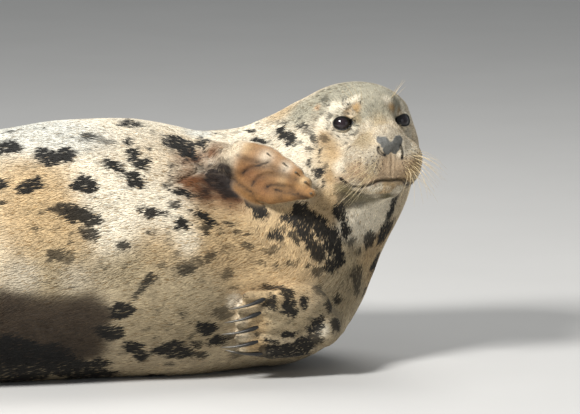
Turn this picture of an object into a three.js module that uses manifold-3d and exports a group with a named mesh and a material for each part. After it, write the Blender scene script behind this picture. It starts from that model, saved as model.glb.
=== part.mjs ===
// Adult female grey seal at life size, lying on her left side with the head raised and turned.
// Millimetres, +Z up. +X is the head end, -Y is the side her belly faces, and the floor is Z = 0.
// The origin is the middle of the flat where her chest rests on the floor.
import * as THREE from "three";
import { mergeVertices } from "three/addons/utils/BufferGeometryUtils.js";
import Module from "manifold-3d";

const wasm = await Module();
wasm.setup();

const vec = (x, y, z) => new THREE.Vector3(x, y, z);
const degrees = THREE.MathUtils.degToRad;

// ---------------------------------------------------------------- driving dimensions
const GAP = 0.35; // between pieces that touch
const SECTION_DEPTH = 1.05; // the trunk is this much deeper, belly to back, than it is tall

// The trunk from the ankles to the breast: the middle of each section and its radius.
const TRUNK = [
  { name: "ankles", x: -1215, y: -206, z: 60, radius: 54 },
  { name: "rump", x: -1120, y: -196, z: 77, radius: 78 },
  { name: "hips", x: -1000, y: -177, z: 106, radius: 112 },
  { name: "loins", x: -800, y: -139, z: 152, radius: 165 },
  { name: "flank", x: -600, y: -98, z: 189, radius: 208 },
  { name: "belly", x: -370, y: -55, z: 214, radius: 236 },
  { name: "ribs", x: -157, y: 0, z: 221, radius: 244 },
  { name: "shoulders", x: 0, y: 26, z: 206, radius: 229 },
  { name: "breast", x: 90, y: 38, z: 205, radius: 190 },
  { name: "front", x: 150, y: 40, z: 205, radius: 120 },
];

// The neck rises from the shoulders to the back of the skull.
const BREAST = { middle: vec(128, 22, 168), radii: vec(166, 172, 168) };
const NECK_ROOT = { middle: vec(136, 45, 250), radii: vec(190, 185, 200) };
const NECK = { middle: vec(230, 38, 335), radii: vec(140, 148, 150) };
const NAPE = { middle: vec(276, 24, 392), radii: vec(118, 122, 122) };
const NECK_SOFTNESS = 60;

// The head's own frame: x to her left, y backwards, z up, from the point midway between the eyes.
const HEAD_PLACE = vec(319, -70, 470);
const HEAD_YAW = 20;
const HEAD_PITCH = 4;
const SKULL = [
  { name: "cranium", x: 0, y: 78, z: 2, radii: [96, 88, 66] },
  { name: "forehead", x: 0, y: 12, z: 13, radii: [55, 50, 45] },
  { name: "bridge", x: 0, y: -24, z: -22, radii: [42, 58, 30] },
  { name: "nose", x: 0, y: -70, z: -38, radii: [32, 22, 20] },
  { name: "upper_lip", x: 0, y: -50, z: -84, radii: [44, 37, 30] },
  { name: "lower_jaw", x: 0, y: -20, z: -114, radii: [50, 52, 27] },
];
const SKULL_PAIRS = [
  { name: "whisker_pad", x: 31, y: -44, z: -67, radii: [44, 41, 40] },
  { name: "lip_corner", x: 46, y: -8, z: -88, radii: [38, 42, 34] },
  { name: "cheek", x: 59, y: 60, z: -50, radii: [45, 60, 56] },
];
const SKULL_SOFTNESS = 22;
const HEAD_TO_NECK_SOFTNESS = 30;

// Each eyeball stands a little way out of a shallow orbit that faces outwards and up.
const EYE = { radius: 20.5, x: 54, y: 17, z: -3, outwards: 23, upwards: 8, proud: 4.5 };
const ORBIT = { radii: [30, 16, 26], softness: 22 };

// Each flipper's own frame: x towards the digits, y across the hand, z out of its back.
// Digits are numbered from the leading edge; each is a root, a knuckle and a fleshy tip.
const FORE_FLIPPERS = [
  {
    name: "fore_flipper_right",
    wrist: vec(72, -108, 393),
    forward: vec(0.87, -0.44, -0.215),
    back: vec(0.4, 0.87, -0.17),
    forearm: { from: vec(-92, 20, 62), to: vec(6, -4, 2), radii: [38, 29] },
    palm: { middle: vec(48, 0, 0), radii: vec(62, 48, 18) },
    web: { middle: vec(76, 0, -2), radii: vec(66, 40, 10) },
    core: [vec(-60, 6, 34), vec(0, -4, 2), vec(54, 0, -3), vec(112, -1, -9)],
    digits: [
      [vec(0, 30, 0), vec(84, 33, -4), vec(164, 5, -18)],
      [vec(0, 15, 0), vec(80, 11, -1), vec(145, -11, -13)],
      [vec(0, 0, 2), vec(68, -9, 2), vec(119, -22, -7)],
      [vec(0, -16, 2), vec(50, -24, 3), vec(89, -31, -3)],
      [vec(-6, -32, 2), vec(22, -36, 4), vec(51, -39, 0)],
    ],
    claw: { back: 30, reach: 10, drop: -20 },
  },
  {
    name: "fore_flipper_left",
    wrist: vec(230, -122, 96),
    forward: vec(-0.94, -0.33, -0.03),
    back: vec(0.14, -0.92, -0.34),
    forearm: { from: vec(-26, 24, -76), to: vec(4, 2, -8), radii: [44, 38] },
    palm: { middle: vec(58, -19, -4), radii: vec(74, 76, 26) },
    web: { middle: vec(92, -19, -6), radii: vec(60, 68, 15) },
    core: [vec(-4, 8, -28), vec(18, 0, -6), vec(62, -12, -4), vec(104, -18, -6)],
    digits: [
      [vec(30, -54, -2), vec(96, -76, 0), vec(154, -80, -8)],
      [vec(24, -30, 2), vec(100, -50, 2), vec(160, -52, -8)],
      [vec(20, -8, 4), vec(102, -20, 3), vec(162, -22, -8)],
      [vec(20, 14, 4), vec(102, 10, 2), vec(159, 9, -9)],
      [vec(24, 34, 2), vec(98, 39, 0), vec(148, 37, -10)],
    ],
    claw: { back: 28, reach: 34, drop: -7 },
  },
];
const FORE_HAND = {
  radii: [15, 12.5, 8.5],
  softness: 10,
  web: { radii: [17, 16], flatness: 2.6, setBack: 10 },
  mesh: { around: 14, along: 8, cap: 5, wide: 1.5, limit: 180 },
  digitMesh: { around: 6, along: 2, cap: 2, limit: 60 },
};
const FORE_CLAW = { radius: 4.6, arch: 8 };

// The hind feet lie one on the other with their soles together, the left one on the floor.
const TOES = [
  { knuckle: [122, 40], tip: [232, 50] },
  { knuckle: [120, 20], tip: [212, 27] },
  { knuckle: [118, 0], tip: [200, 2] },
  { knuckle: [120, -20], tip: [210, -24] },
  { knuckle: [122, -40], tip: [228, -48] },
];
const HIND_FLIPPERS = [
  {
    name: "hind_flipper_left",
    ankle: vec(-1196, -200, 27),
    forward: vec(-1, -0.16, 0),
    back: vec(0, 0, -1),
    side: -1,
    lift: 14,
  },
  {
    name: "hind_flipper_right",
    ankle: vec(-1196, -212, 88),
    forward: vec(-1, 0.02, -0.17),
    back: vec(0, 0.06, 1),
    side: 1,
    lift: -4,
  },
];
const HIND_FOOT = {
  radii: [15, 12, 7.5],
  softness: 12,
  web: { radii: [18, 16], flatness: 2.4, setBack: 16 },
  mesh: { around: 10, along: 4, cap: 3, wide: 1.3, limit: 200 },
  digitMesh: { around: 5, along: 1, cap: 1, limit: 60 },
};
const HIND_CLAW = { radius: 3.2, arch: 1.5, back: 6, reach: 13, drop: 0, depth: 1.5 };
const TAIL = { from: vec(-1140, -158, 66), to: vec(-1288, -118, 60), radii: [25, 9], thin: 0.62 };

// Where the flesh is parted. Each plane is a point and the direction towards the head.
const PARTINGS = {
  head: { at: vec(338, -122, 322), towards: vec(0.25, -0.45, 0.857) },
  neck: { at: vec(170, 40, 250), towards: vec(0.72, 0, 0.69) },
  chest: { at: vec(-130, 0, 220), towards: vec(1, 0, 0) },
  belly: { at: vec(-620, 0, 200), towards: vec(1, 0.2, 0) },
};

// ---------------------------------------------------------------- soft forms
// A form is a function of a point: negative inside the flesh, and about the distance to it outside.
const egg = (middle, radii) => (p) => {
  const x = p.x - middle.x, y = p.y - middle.y, z = p.z - middle.z;
  const near = Math.hypot(x / radii.x, y / radii.y, z / radii.z);
  const slope = Math.hypot(x / radii.x ** 2, y / radii.y ** 2, z / radii.z ** 2);
  return slope < 1e-9 ? -Math.min(radii.x, radii.y, radii.z) : (near * (near - 1)) / slope;
};

// A limb tapers from one round end to the other.
const limb = (a, b, radiusA, radiusB) => {
  const along = b.clone().sub(a);
  const lengthSquared = along.lengthSq();
  return (p) => {
    const t = THREE.MathUtils.clamp(p.clone().sub(a).dot(along) / lengthSquared, 0, 1);
    return p.distanceTo(a.clone().addScaledVector(along, t)) - THREE.MathUtils.lerp(radiusA, radiusB, t);
  };
};

// A web of skin is a limb flattened in its own plane.
const webbing = (a, b, radiusA, radiusB, flatness) => {
  const along = new THREE.Vector2(b.x - a.x, b.y - a.y);
  return (p) => {
    const reached = ((p.x - a.x) * along.x + (p.y - a.y) * along.y) / along.lengthSq();
    const t = THREE.MathUtils.clamp(reached, 0, 1);
    const near = a.clone().lerp(b, t);
    const radius = THREE.MathUtils.lerp(radiusA, radiusB, t);
    return (Math.hypot(p.x - near.x, p.y - near.y, (p.z - near.z) * flatness) - radius) / flatness;
  };
};

const blend = (softness, forms) => (p) => {
  let joined = Infinity;
  for (const form of forms) {
    const d = form(p);
    if (joined === Infinity) {
      joined = d;
      continue;
    }
    const share = Math.max(softness - Math.abs(joined - d), 0) / softness;
    joined = Math.min(joined, d) - (share * share * softness) / 4;
  }
  return joined;
};

const carve = (form, cutter, softness) => (p) => {
  const d = form(p), c = -cutter(p);
  const share = Math.max(softness - Math.abs(d - c), 0) / softness;
  return Math.max(d, c) + (share * share * softness) / 4;
};

const placed = (form, matrix) => {
  const back = matrix.clone().invert();
  return (p) => form(p.clone().applyMatrix4(back));
};

// Flesh that meets the floor flattens on it.
const onFloor = (form, softness = 4) => carve(form, (p) => p.z, softness);

// A smooth curve through one measure of the trunk's sections.
function trunkMeasure(x, key) {
  let i = TRUNK.findIndex((s) => s.x > x);
  i = THREE.MathUtils.clamp(i < 0 ? TRUNK.length - 1 : i, 1, TRUNK.length - 1);
  const [a, b] = [TRUNK[i - 1], TRUNK[i]];
  const before = TRUNK[Math.max(i - 2, 0)], after = TRUNK[Math.min(i + 1, TRUNK.length - 1)];
  const span = b.x - a.x;
  const slopeA = ((b[key] - before[key]) / (b.x - before.x)) * span;
  const slopeB = ((after[key] - a[key]) / (after.x - a.x)) * span;
  const t = (x - a.x) / span;
  const t2 = t * t, t3 = t2 * t;
  return (2 * t3 - 3 * t2 + 1) * a[key] + (t3 - 2 * t2 + t) * slopeA + (3 * t2 - 2 * t3) * b[key] + (t3 - t2) * slopeB;
}

const trunkForm = (p) => {
  const first = TRUNK[0], last = TRUNK[TRUNK.length - 1];
  const x = THREE.MathUtils.clamp(p.x, first.x, last.x);
  const across = (p.y - trunkMeasure(x, "y")) / SECTION_DEPTH;
  const up = p.z - trunkMeasure(x, "z");
  return Math.hypot(across, up, p.x - x) - trunkMeasure(x, "radius");
};

// ---------------------------------------------------------------- modelling tools
// Welds a geometry's vertices and drops the faces that have no width.
function welded(geometry) {
  const bare = geometry.clone();
  bare.deleteAttribute("normal");
  bare.deleteAttribute("uv");
  const merged = mergeVertices(bare, 1e-3);
  const index = merged.index.array;
  const kept = [];
  for (let i = 0; i < index.length; i += 3) {
    const [a, b, c] = [index[i], index[i + 1], index[i + 2]];
    if (a !== b && b !== c && c !== a) kept.push(a, b, c);
  }
  merged.setIndex(kept);
  return merged;
}

// How far along a ray from inside a form its surface lies.
function reachOf(form, base, direction, limit, swell) {
  const at = (r) => form(base.clone().addScaledVector(direction, r)) - swell;
  let inside = 0, outside = null;
  for (let r = 0; r < limit; ) {
    const d = at(r);
    if (d > 0) {
      outside = r;
      break;
    }
    inside = r;
    r += Math.max(-d * 0.6, limit / 160);
  }
  if (outside === null) return limit;
  for (let i = 0; i < 22; i++) {
    const middle = (inside + outside) / 2;
    if (at(middle) > 0) outside = middle;
    else inside = middle;
  }
  return inside;
}

// A capsule bent along a curve, whose every vertex is then moved out to the surface of a form.
function fleshOn(curve, form, { across, around, along, cap, limit = 400, wide = 1, thin = 1, swell = 0 }) {
  const capsule = welded(new THREE.CapsuleGeometry(1, 1, cap, around, along));
  const position = capsule.getAttribute("position");
  for (let i = 0; i < position.count; i++) {
    const v = vec().fromBufferAttribute(position, i);
    const height = THREE.MathUtils.clamp(v.y, -0.5, 0.5);
    const base = curve.getPoint(height + 0.5);
    const forward = curve.getTangent(height + 0.5);
    const side = across.clone().addScaledVector(forward, -across.dot(forward)).normalize();
    const up = side.clone().cross(forward);
    const ray = vec()
      .addScaledVector(side, v.x * wide)
      .addScaledVector(forward, v.y - height)
      .addScaledVector(up, v.z * thin)
      .normalize();
    const end = base.addScaledVector(ray, reachOf(form, base, ray, limit, swell));
    position.setXYZ(i, end.x, end.y, end.z);
  }
  return welded(capsule);
}

function solidOf(geometry, matrix = new THREE.Matrix4()) {
  const world = welded(geometry.clone().applyMatrix4(matrix));
  return new wasm.Manifold(
    new wasm.Mesh({
      numProp: 3,
      vertProperties: new Float32Array(world.getAttribute("position").array),
      triVerts: new Uint32Array(world.index.array),
    }),
  );
}

function geometryOf(solid, matrix = new THREE.Matrix4()) {
  const made = solid.getMesh();
  const geometry = new THREE.BufferGeometry();
  geometry.setAttribute("position", new THREE.BufferAttribute(new Float32Array(made.vertProperties), 3));
  geometry.setIndex(new THREE.BufferAttribute(new Uint32Array(made.triVerts), 1));
  geometry.applyMatrix4(matrix.clone().invert());
  geometry.computeVertexNormals();
  return geometry;
}

// Everything on the head's side of a parting plane, or with side -1 on the tail's, less half the gap.
function halfSpace({ at, towards }, side = 1) {
  const size = 4000;
  const box = new THREE.BoxGeometry(size, size, size);
  const direction = towards.clone().normalize().multiplyScalar(side);
  const turn = new THREE.Quaternion().setFromUnitVectors(vec(0, 0, 1), direction);
  const middle = at.clone().addScaledVector(direction, size / 2 + GAP / 2);
  return solidOf(box, new THREE.Matrix4().compose(middle, turn, vec(1, 1, 1)));
}

const material = (color, roughness, metalness = 0) => new THREE.MeshStandardMaterial({ color, roughness, metalness });
const COAT = material(0xb9ab92, 0.8);
const FACE = material(0xa9a08c, 0.8);
const PALM = material(0x8a6243, 0.75);
const EYEBALL = material(0x120d0a, 0.08);
const CLAW = material(0x3b3a38, 0.4);

const seal = new THREE.Group();

function addMesh(parent, name, geometry, surface) {
  const mesh = new THREE.Mesh(geometry, surface);
  mesh.name = name;
  parent.add(mesh);
  return mesh;
}

function groupAt(parent, place, turn) {
  const group = new THREE.Group();
  group.position.copy(place);
  group.quaternion.copy(turn);
  parent.add(group);
  group.updateMatrixWorld(true);
  return group;
}

// The turn that sends +X along one direction and +Z as near as it can to another.
function turnTo(forward, back) {
  const x = forward.clone().normalize();
  const z = back.clone().addScaledVector(x, -back.dot(x)).normalize();
  return new THREE.Quaternion().setFromRotationMatrix(new THREE.Matrix4().makeBasis(x, z.clone().cross(x), z));
}

// ---------------------------------------------------------------- body and head as one form
const headTurn = new THREE.Quaternion().setFromEuler(
  new THREE.Euler(degrees(-HEAD_PITCH), 0, degrees(HEAD_YAW), "ZYX"),
);
const headGroup = groupAt(seal, HEAD_PLACE, headTurn);
const headMatrix = headGroup.matrixWorld.clone();

const mirroredPair = (s) => [s, { ...s, x: -s.x }];
const skullForm = blend(
  SKULL_SOFTNESS,
  [...SKULL, ...SKULL_PAIRS.flatMap(mirroredPair)].map((s) => egg(vec(s.x, s.y, s.z), vec(...s.radii))),
);

const eyePlaces = [["eye_left", 1], ["eye_right", -1]].map(([name, side]) => {
  const middle = vec(side * EYE.x, EYE.y, EYE.z);
  const aim = new THREE.Euler(degrees(-EYE.upwards), 0, side * degrees(EYE.outwards), "ZYX");
  return { name, middle, turn: new THREE.Quaternion().setFromEuler(aim) };
});
const orbits = eyePlaces.map(({ middle, turn }) => {
  const outwards = vec(0, -1, 0).applyQuaternion(turn);
  const place = middle.clone().addScaledVector(outwards, EYE.radius - EYE.proud + ORBIT.radii[1]);
  const matrix = new THREE.Matrix4().compose(place, turn, vec(1, 1, 1));
  return placed(egg(vec(0, 0, 0), vec(...ORBIT.radii)), matrix);
});

const eggOf = ({ middle, radii }) => egg(middle, radii);
const neckForm = blend(NECK_SOFTNESS, [trunkForm, ...[BREAST, NECK_ROOT, NECK, NAPE].map(eggOf)]);
let wholeForm = blend(HEAD_TO_NECK_SOFTNESS, [neckForm, placed(skullForm, headMatrix)]);
for (const orbit of orbits) wholeForm = carve(wholeForm, placed(orbit, headMatrix), ORBIT.softness);
const bodyForm = onFloor(wholeForm);

const spine = new THREE.CatmullRomCurve3([
  ...TRUNK.filter((s) => s.x <= 0 && s.name !== "rump" && s.name !== "loins").map((s) => vec(s.x, s.y, s.z)),
  vec(110, 42, 235),
  vec(205, 38, 312),
  vec(262, 30, 392),
  vec(292, 20, 460),
]);
const bodyMesh = { across: vec(0, 1, 0), around: 26, along: 30, cap: 3, limit: 420 };
const headMesh = { across: vec(1, 0, 0), around: 38, along: 8, cap: 8, limit: 240 };
const headCore = new THREE.LineCurve3(
  vec(0, 76, -84).applyMatrix4(headMatrix),
  vec(0, -26, -56).applyMatrix4(headMatrix),
);

const body = solidOf(fleshOn(spine, bodyForm, bodyMesh));
const bodySwollen = solidOf(fleshOn(spine, bodyForm, { ...bodyMesh, swell: 2 * GAP }));
const head = solidOf(fleshOn(headCore, bodyForm, headMesh));

// ---------------------------------------------------------------- eyes
const sockets = [];
for (const { name, middle, turn } of eyePlaces) {
  const ball = addMesh(headGroup, name, new THREE.SphereGeometry(EYE.radius, 12, 9), EYEBALL);
  ball.position.copy(middle);
  ball.quaternion.copy(turn);
  ball.updateMatrixWorld(true);
  sockets.push(solidOf(new THREE.SphereGeometry(EYE.radius + GAP, 12, 9), ball.matrixWorld));
}

// ---------------------------------------------------------------- the parted flesh
let headSolid = head.intersect(halfSpace(PARTINGS.head));
for (const socket of sockets) headSolid = headSolid.subtract(socket);
addMesh(headGroup, "head", geometryOf(headSolid, headMatrix), FACE);

const LENGTHS = ["head", "neck", "chest", "belly", "rump"];
for (let i = 1; i < LENGTHS.length; i++) {
  let length = body.intersect(halfSpace(PARTINGS[LENGTHS[i - 1]], -1));
  if (PARTINGS[LENGTHS[i]]) length = length.intersect(halfSpace(PARTINGS[LENGTHS[i]]));
  addMesh(seal, LENGTHS[i], geometryOf(length), COAT);
}

// ---------------------------------------------------------------- claws
// A claw is a horn that leaves the back of the digit, arches over and comes down to a point.
function clawGeometry(root, tip, { radius, arch }, swell = 0) {
  const middle = root.clone().lerp(tip, 0.5);
  const bend = new THREE.QuadraticBezierCurve3(root, vec(middle.x, middle.y, middle.z + 2 * arch), tip);
  const horn = welded(new THREE.CapsuleGeometry(1, 1, 1, 5, 3));
  const position = horn.getAttribute("position");
  for (let i = 0; i < position.count; i++) {
    const v = vec().fromBufferAttribute(position, i);
    const t = THREE.MathUtils.clamp(v.y, -0.5, 0.5) + 0.5;
    const forward = bend.getTangent(t);
    const side = vec(0, 1, 0).addScaledVector(forward, -forward.y).normalize();
    const up = side.clone().cross(forward);
    const thickness = radius * (1 - 0.86 * t ** 1.4) + swell;
    const end = bend
      .getPoint(t)
      .addScaledVector(side, v.x * thickness * 0.85)
      .addScaledVector(forward, (v.y + 0.5 - t) * thickness)
      .addScaledVector(up, v.z * thickness);
    position.setXYZ(i, end.x, end.y, end.z);
  }
  return welded(horn);
}

// ---------------------------------------------------------------- flippers
function digitForm([root, knuckle, tip], [wide, middle, narrow]) {
  return blend(6, [limb(root, knuckle, wide, middle), limb(knuckle, tip, middle, narrow)]);
}

// The skin between two neighbouring digits stops short of their tips.
function webForm([rootA, knuckleA, tipA], [rootB, knuckleB, tipB], { radii, flatness, setBack }) {
  const root = rootA.clone().lerp(rootB, 0.5);
  const knuckle = knuckleA.clone().lerp(knuckleB, 0.5);
  const tip = tipA.clone().lerp(tipB, 0.5);
  const end = tip.addScaledVector(tip.clone().sub(knuckle).normalize(), -setBack);
  return blend(6, [
    webbing(root, knuckle, radii[0], radii[1], flatness),
    webbing(knuckle, end, radii[1], radii[1], flatness),
  ]);
}

// Five digits in one web of skin, cut away where the body or a claw is.
function addFlipper(group, name, forms, core, digits, build, claw) {
  const webs = digits.slice(1).map((digit, i) => webForm(digits[i], digit, build.web));
  const local = (form) => {
    const resting = onFloor(placed(form, group.matrixWorld), 4);
    return (p) => resting(p.clone().applyMatrix4(group.matrixWorld));
  };
  const digitForms = digits.map((digit) => digitForm(digit, build.radii));
  const hand = local(blend(build.softness, [...forms, ...webs]));
  const across = vec(0, 1, 0);
  const mesh = fleshOn(new THREE.CatmullRomCurve3(core), hand, { across, ...build.mesh });
  let solid = solidOf(mesh, group.matrixWorld);
  digits.forEach(([root, knuckle, tip], i) => {
    const bones = new THREE.CatmullRomCurve3([root.clone().lerp(knuckle, 0.6), knuckle, tip]);
    const digit = fleshOn(bones, local(digitForms[i]), { across, ...build.digitMesh });
    solid = solid.add(solidOf(digit, group.matrixWorld));
  });
  solid = solid.subtract(bodySwollen);
  const form = local(blend(1, [...forms, ...webs, ...digitForms]));
  digits.forEach(([, knuckle, tip], i) => {
    const forward = tip.clone().sub(knuckle).normalize();
    const root = tip.clone().addScaledVector(forward, -claw.back);
    root.z += claw.depth ?? reachOf(form, root, vec(0, 0, 1), 60, 0) - claw.radius * 0.5;
    const point = tip.clone().addScaledVector(forward, claw.reach).add(vec(0, 0, claw.drop));
    const horn = clawGeometry(root, point, claw);
    solid = solid.subtract(solidOf(clawGeometry(root, point, claw, GAP), group.matrixWorld));
    addMesh(group, `${name.replace("flipper", "claw")}_${i + 1}`, horn, CLAW);
  });
  addMesh(group, name, geometryOf(solid, group.matrixWorld), PALM);
  return solid;
}

for (const { name, wrist, forward, back, forearm, palm, web, core, digits, claw } of FORE_FLIPPERS) {
  const group = groupAt(seal, wrist, turnTo(forward, back));
  const forms = [limb(forearm.from, forearm.to, ...forearm.radii), eggOf(palm), eggOf(web)];
  addFlipper(group, name, forms, core, digits, FORE_HAND, { ...FORE_CLAW, ...claw });
}

const feetSwollen = [];
for (const { name, ankle, forward, back, side, lift } of HIND_FLIPPERS) {
  const group = groupAt(seal, ankle, turnTo(forward, back));
  const digits = TOES.map(({ knuckle, tip }) => [
    vec(0, (side * knuckle[1]) / 3, 0),
    vec(knuckle[0], side * knuckle[1], lift / 2),
    vec(tip[0], side * tip[1], lift),
  ]);
  const forms = [
    limb(vec(-40, 0, 0), vec(30, 0, 0), 30, 25),
    egg(vec(62, 0, 0), vec(70, 42, 18)),
  ];
  const core = [vec(-30, 0, 0), vec(20, 0, 0), vec(90, 0, lift / 3), vec(180, 0, lift * 0.8)];
  addFlipper(group, name, forms, core, digits, HIND_FOOT, HIND_CLAW);
  const swollen = fleshOn(new THREE.CatmullRomCurve3(core), blend(9, forms), {
    across: vec(0, 1, 0),
    ...HIND_FOOT.mesh,
    swell: 2,
  });
  feetSwollen.push(solidOf(swollen, group.matrixWorld));
}

// ---------------------------------------------------------------- tail
const tailForm = webbing(TAIL.from, TAIL.to, ...TAIL.radii, 1 / TAIL.thin);
const tailMesh = { across: vec(0, 1, 0), around: 12, along: 5, cap: 3, limit: 80 };
const tailCore = new THREE.LineCurve3(TAIL.from, TAIL.to);
let tail = solidOf(fleshOn(tailCore, tailForm, tailMesh)).subtract(bodySwollen);
for (const foot of feetSwollen) tail = tail.subtract(foot);
addMesh(seal, "tail", geometryOf(tail), COAT);

export default seal;
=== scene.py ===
"""Adult female grey seal at life size, lying on her left side with the head raised: skin, coat and looks.

The forms are worked out in millimetres, in the model's own frame, and the meshes are made in metres.
"""
import math
import bmesh
import bpy
import numpy as np
from mathutils import Matrix, Vector
from mathutils.bvhtree import BVHTree


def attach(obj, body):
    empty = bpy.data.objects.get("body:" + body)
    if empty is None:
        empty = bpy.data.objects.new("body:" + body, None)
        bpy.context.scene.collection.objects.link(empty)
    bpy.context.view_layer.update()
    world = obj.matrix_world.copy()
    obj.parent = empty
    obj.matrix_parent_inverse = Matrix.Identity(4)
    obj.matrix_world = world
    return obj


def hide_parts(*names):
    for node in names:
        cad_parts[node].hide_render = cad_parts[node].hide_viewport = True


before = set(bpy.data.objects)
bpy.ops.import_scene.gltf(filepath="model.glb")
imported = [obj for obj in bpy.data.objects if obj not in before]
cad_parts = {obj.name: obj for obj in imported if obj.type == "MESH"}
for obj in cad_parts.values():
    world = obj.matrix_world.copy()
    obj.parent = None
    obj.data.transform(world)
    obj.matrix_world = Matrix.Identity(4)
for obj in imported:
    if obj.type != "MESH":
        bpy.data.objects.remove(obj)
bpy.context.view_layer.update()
MM = 0.001


def vec(x, y, z):
    return np.array((x, y, z), dtype=float)


def unit(v):
    return v / np.maximum(np.linalg.norm(v, axis=-1, keepdims=True), 1e-12)


def smoothstep(low, high, x):
    t = np.clip((x - low) / (high - low), 0.0, 1.0)
    return t * t * (3.0 - 2.0 * t)


# ---------------------------------------------------------------- sizes shared with the solids
SECTION_DEPTH = 1.05
TRUNK = np.array([
    # x, y, z of the middle of each section, and its radius
    (-1215, -206, 60, 54),
    (-1120, -196, 77, 78),
    (-1000, -177, 106, 112),
    (-800, -139, 152, 165),
    (-600, -98, 189, 208),
    (-370, -55, 214, 236),
    (-157, 0, 221, 244),
    (0, 26, 206, 229),
    (90, 38, 205, 190),
    (150, 40, 205, 120),
], dtype=float)
NECK_EGGS = [
    (vec(128, 22, 168), vec(166, 172, 168)),
    (vec(136, 45, 250), vec(190, 185, 200)),
    (vec(230, 38, 335), vec(140, 148, 150)),
    (vec(276, 24, 392), vec(118, 122, 122)),
]
NECK_SOFTNESS = 60.0
HEAD_PLACE = vec(319, -70, 470)
HEAD_YAW = math.radians(20)
HEAD_PITCH = math.radians(4)
SKULL = [
    ((0, 78, 2), (96, 88, 66)),
    ((0, 12, 13), (55, 50, 45)),
    ((0, -24, -22), (42, 58, 30)),
    ((0, -70, -38), (32, 22, 20)),
    ((0, -50, -84), (44, 37, 30)),
    ((0, -20, -114), (50, 52, 27)),
]
SKULL_PAIRS = [
    ((31, -44, -67), (44, 41, 40)),
    ((46, -8, -88), (38, 42, 34)),
    ((59, 60, -50), (45, 60, 56)),
]
SKULL_SOFTNESS = 22.0
HEAD_TO_NECK_SOFTNESS = 30.0
EYE_RADIUS = 20.5
EYE_MIDDLE = vec(54, 17, -3)
EYE_OUTWARDS = math.radians(23)
EYE_UPWARDS = math.radians(8)
EYE_PROUD = 4.5
ORBIT_RADII = vec(30, 16, 26)
ORBIT_SOFTNESS = 22.0

FORE_FLIPPERS = {
    "right": dict(
        wrist=vec(72, -108, 393), forward=vec(0.87, -0.44, -0.215), back=vec(0.4, 0.87, -0.17),
        forearm=((-92, 20, 62), (6, -4, 2), 38, 29),
        palm=((48, 0, 0), (62, 48, 18)), web=((76, 0, -2), (66, 40, 10)),
        digits=[
            ((0, 30, 0), (84, 33, -4), (164, 5, -18)),
            ((0, 15, 0), (80, 11, -1), (145, -11, -13)),
            ((0, 0, 2), (68, -9, 2), (119, -22, -7)),
            ((0, -16, 2), (50, -24, 3), (89, -31, -3)),
            ((-6, -32, 2), (22, -36, 4), (51, -39, 0)),
        ],
        claw=dict(back=30, reach=10, drop=-20),
    ),
    "left": dict(
        wrist=vec(230, -122, 96), forward=vec(-0.94, -0.33, -0.03), back=vec(0.14, -0.92, -0.34),
        forearm=((-26, 24, -76), (4, 2, -8), 44, 38),
        palm=((58, -19, -4), (74, 76, 26)), web=((92, -19, -6), (60, 68, 15)),
        digits=[
            ((30, -54, -2), (96, -76, 0), (154, -80, -8)),
            ((24, -30, 2), (100, -50, 2), (160, -52, -8)),
            ((20, -8, 4), (102, -20, 3), (162, -22, -8)),
            ((20, 14, 4), (102, 10, 2), (159, 9, -9)),
            ((24, 34, 2), (98, 39, 0), (148, 37, -10)),
        ],
        claw=dict(back=28, reach=34, drop=-7),
    ),
}
FORE_DIGIT_RADII = (15, 12.5, 8.5)
FORE_WEB = dict(radii=(17, 16), flatness=2.6, set_back=10)
FORE_CLAW = dict(radius=4.6, arch=8)

TOES = [((122, 40), (232, 50)), ((120, 20), (212, 27)), ((118, 0), (200, 2)), ((120, -20), (210, -24)),
        ((122, -40), (228, -48))]
HIND_FLIPPERS = {
    "left": dict(ankle=vec(-1196, -200, 27), forward=vec(-1, -0.16, 0), back=vec(0, 0, -1), side=-1, lift=14),
    "right": dict(ankle=vec(-1196, -212, 88), forward=vec(-1, 0.02, -0.17), back=vec(0, 0.06, 1), side=1, lift=-4),
}
HIND_DIGIT_RADII = (15, 12, 7.5)
HIND_WEB = dict(radii=(18, 16), flatness=2.4, set_back=16)
HIND_CLAW = dict(radius=3.2, arch=1.5, back=6, reach=13, drop=0, depth=1.5)
TAIL = (vec(-1140, -158, 66), vec(-1288, -118, 60), 25, 9, 1 / 0.62)


# ---------------------------------------------------------------- soft forms
# A form is a function of points in millimetres: negative inside the flesh, and about the distance outside.
def egg(middle, radii):
    middle, radii = np.array(middle, float), np.array(radii, float)

    def form(p):
        q = (p - middle) / radii
        near = np.sqrt((q * q).sum(1))
        slope = np.sqrt(((q / radii) ** 2).sum(1))
        return near * (near - 1.0) / np.maximum(slope, 1e-9)
    return form


def limb(a, b, radius_a, radius_b):
    a, b = np.array(a, float), np.array(b, float)
    along = b - a

    def form(p):
        t = np.clip((p - a) @ along / (along @ along), 0, 1)
        near = a + t[:, None] * along
        return np.linalg.norm(p - near, axis=1) - (radius_a + t * (radius_b - radius_a))
    return form


def webbing(a, b, radius_a, radius_b, flatness):
    a, b = np.array(a, float), np.array(b, float)
    along = (b - a)[:2]

    def form(p):
        t = np.clip((p[:, :2] - a[:2]) @ along / (along @ along), 0, 1)
        q = p - (a + t[:, None] * (b - a))
        radius = radius_a + t * (radius_b - radius_a)
        return (np.sqrt(q[:, 0] ** 2 + q[:, 1] ** 2 + (q[:, 2] * flatness) ** 2) - radius) / flatness
    return form


def soft_union(a, b, softness):
    share = np.maximum(softness - np.abs(a - b), 0) / softness
    return np.minimum(a, b) - share * share * softness / 4


def blend(softness, forms):
    def form(p):
        joined = forms[0](p)
        for other in forms[1:]:
            joined = soft_union(joined, other(p), softness)
        return joined
    return form


def carve(form, cutter, softness):
    def carved(p):
        return -soft_union(-form(p), cutter(p), softness)
    return carved


def placed(form, turn, place):
    def moved(p):
        return form((p - place) @ turn)
    return moved


def on_floor(form, softness=4.0):
    return carve(form, lambda p: p[:, 2], softness)


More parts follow.
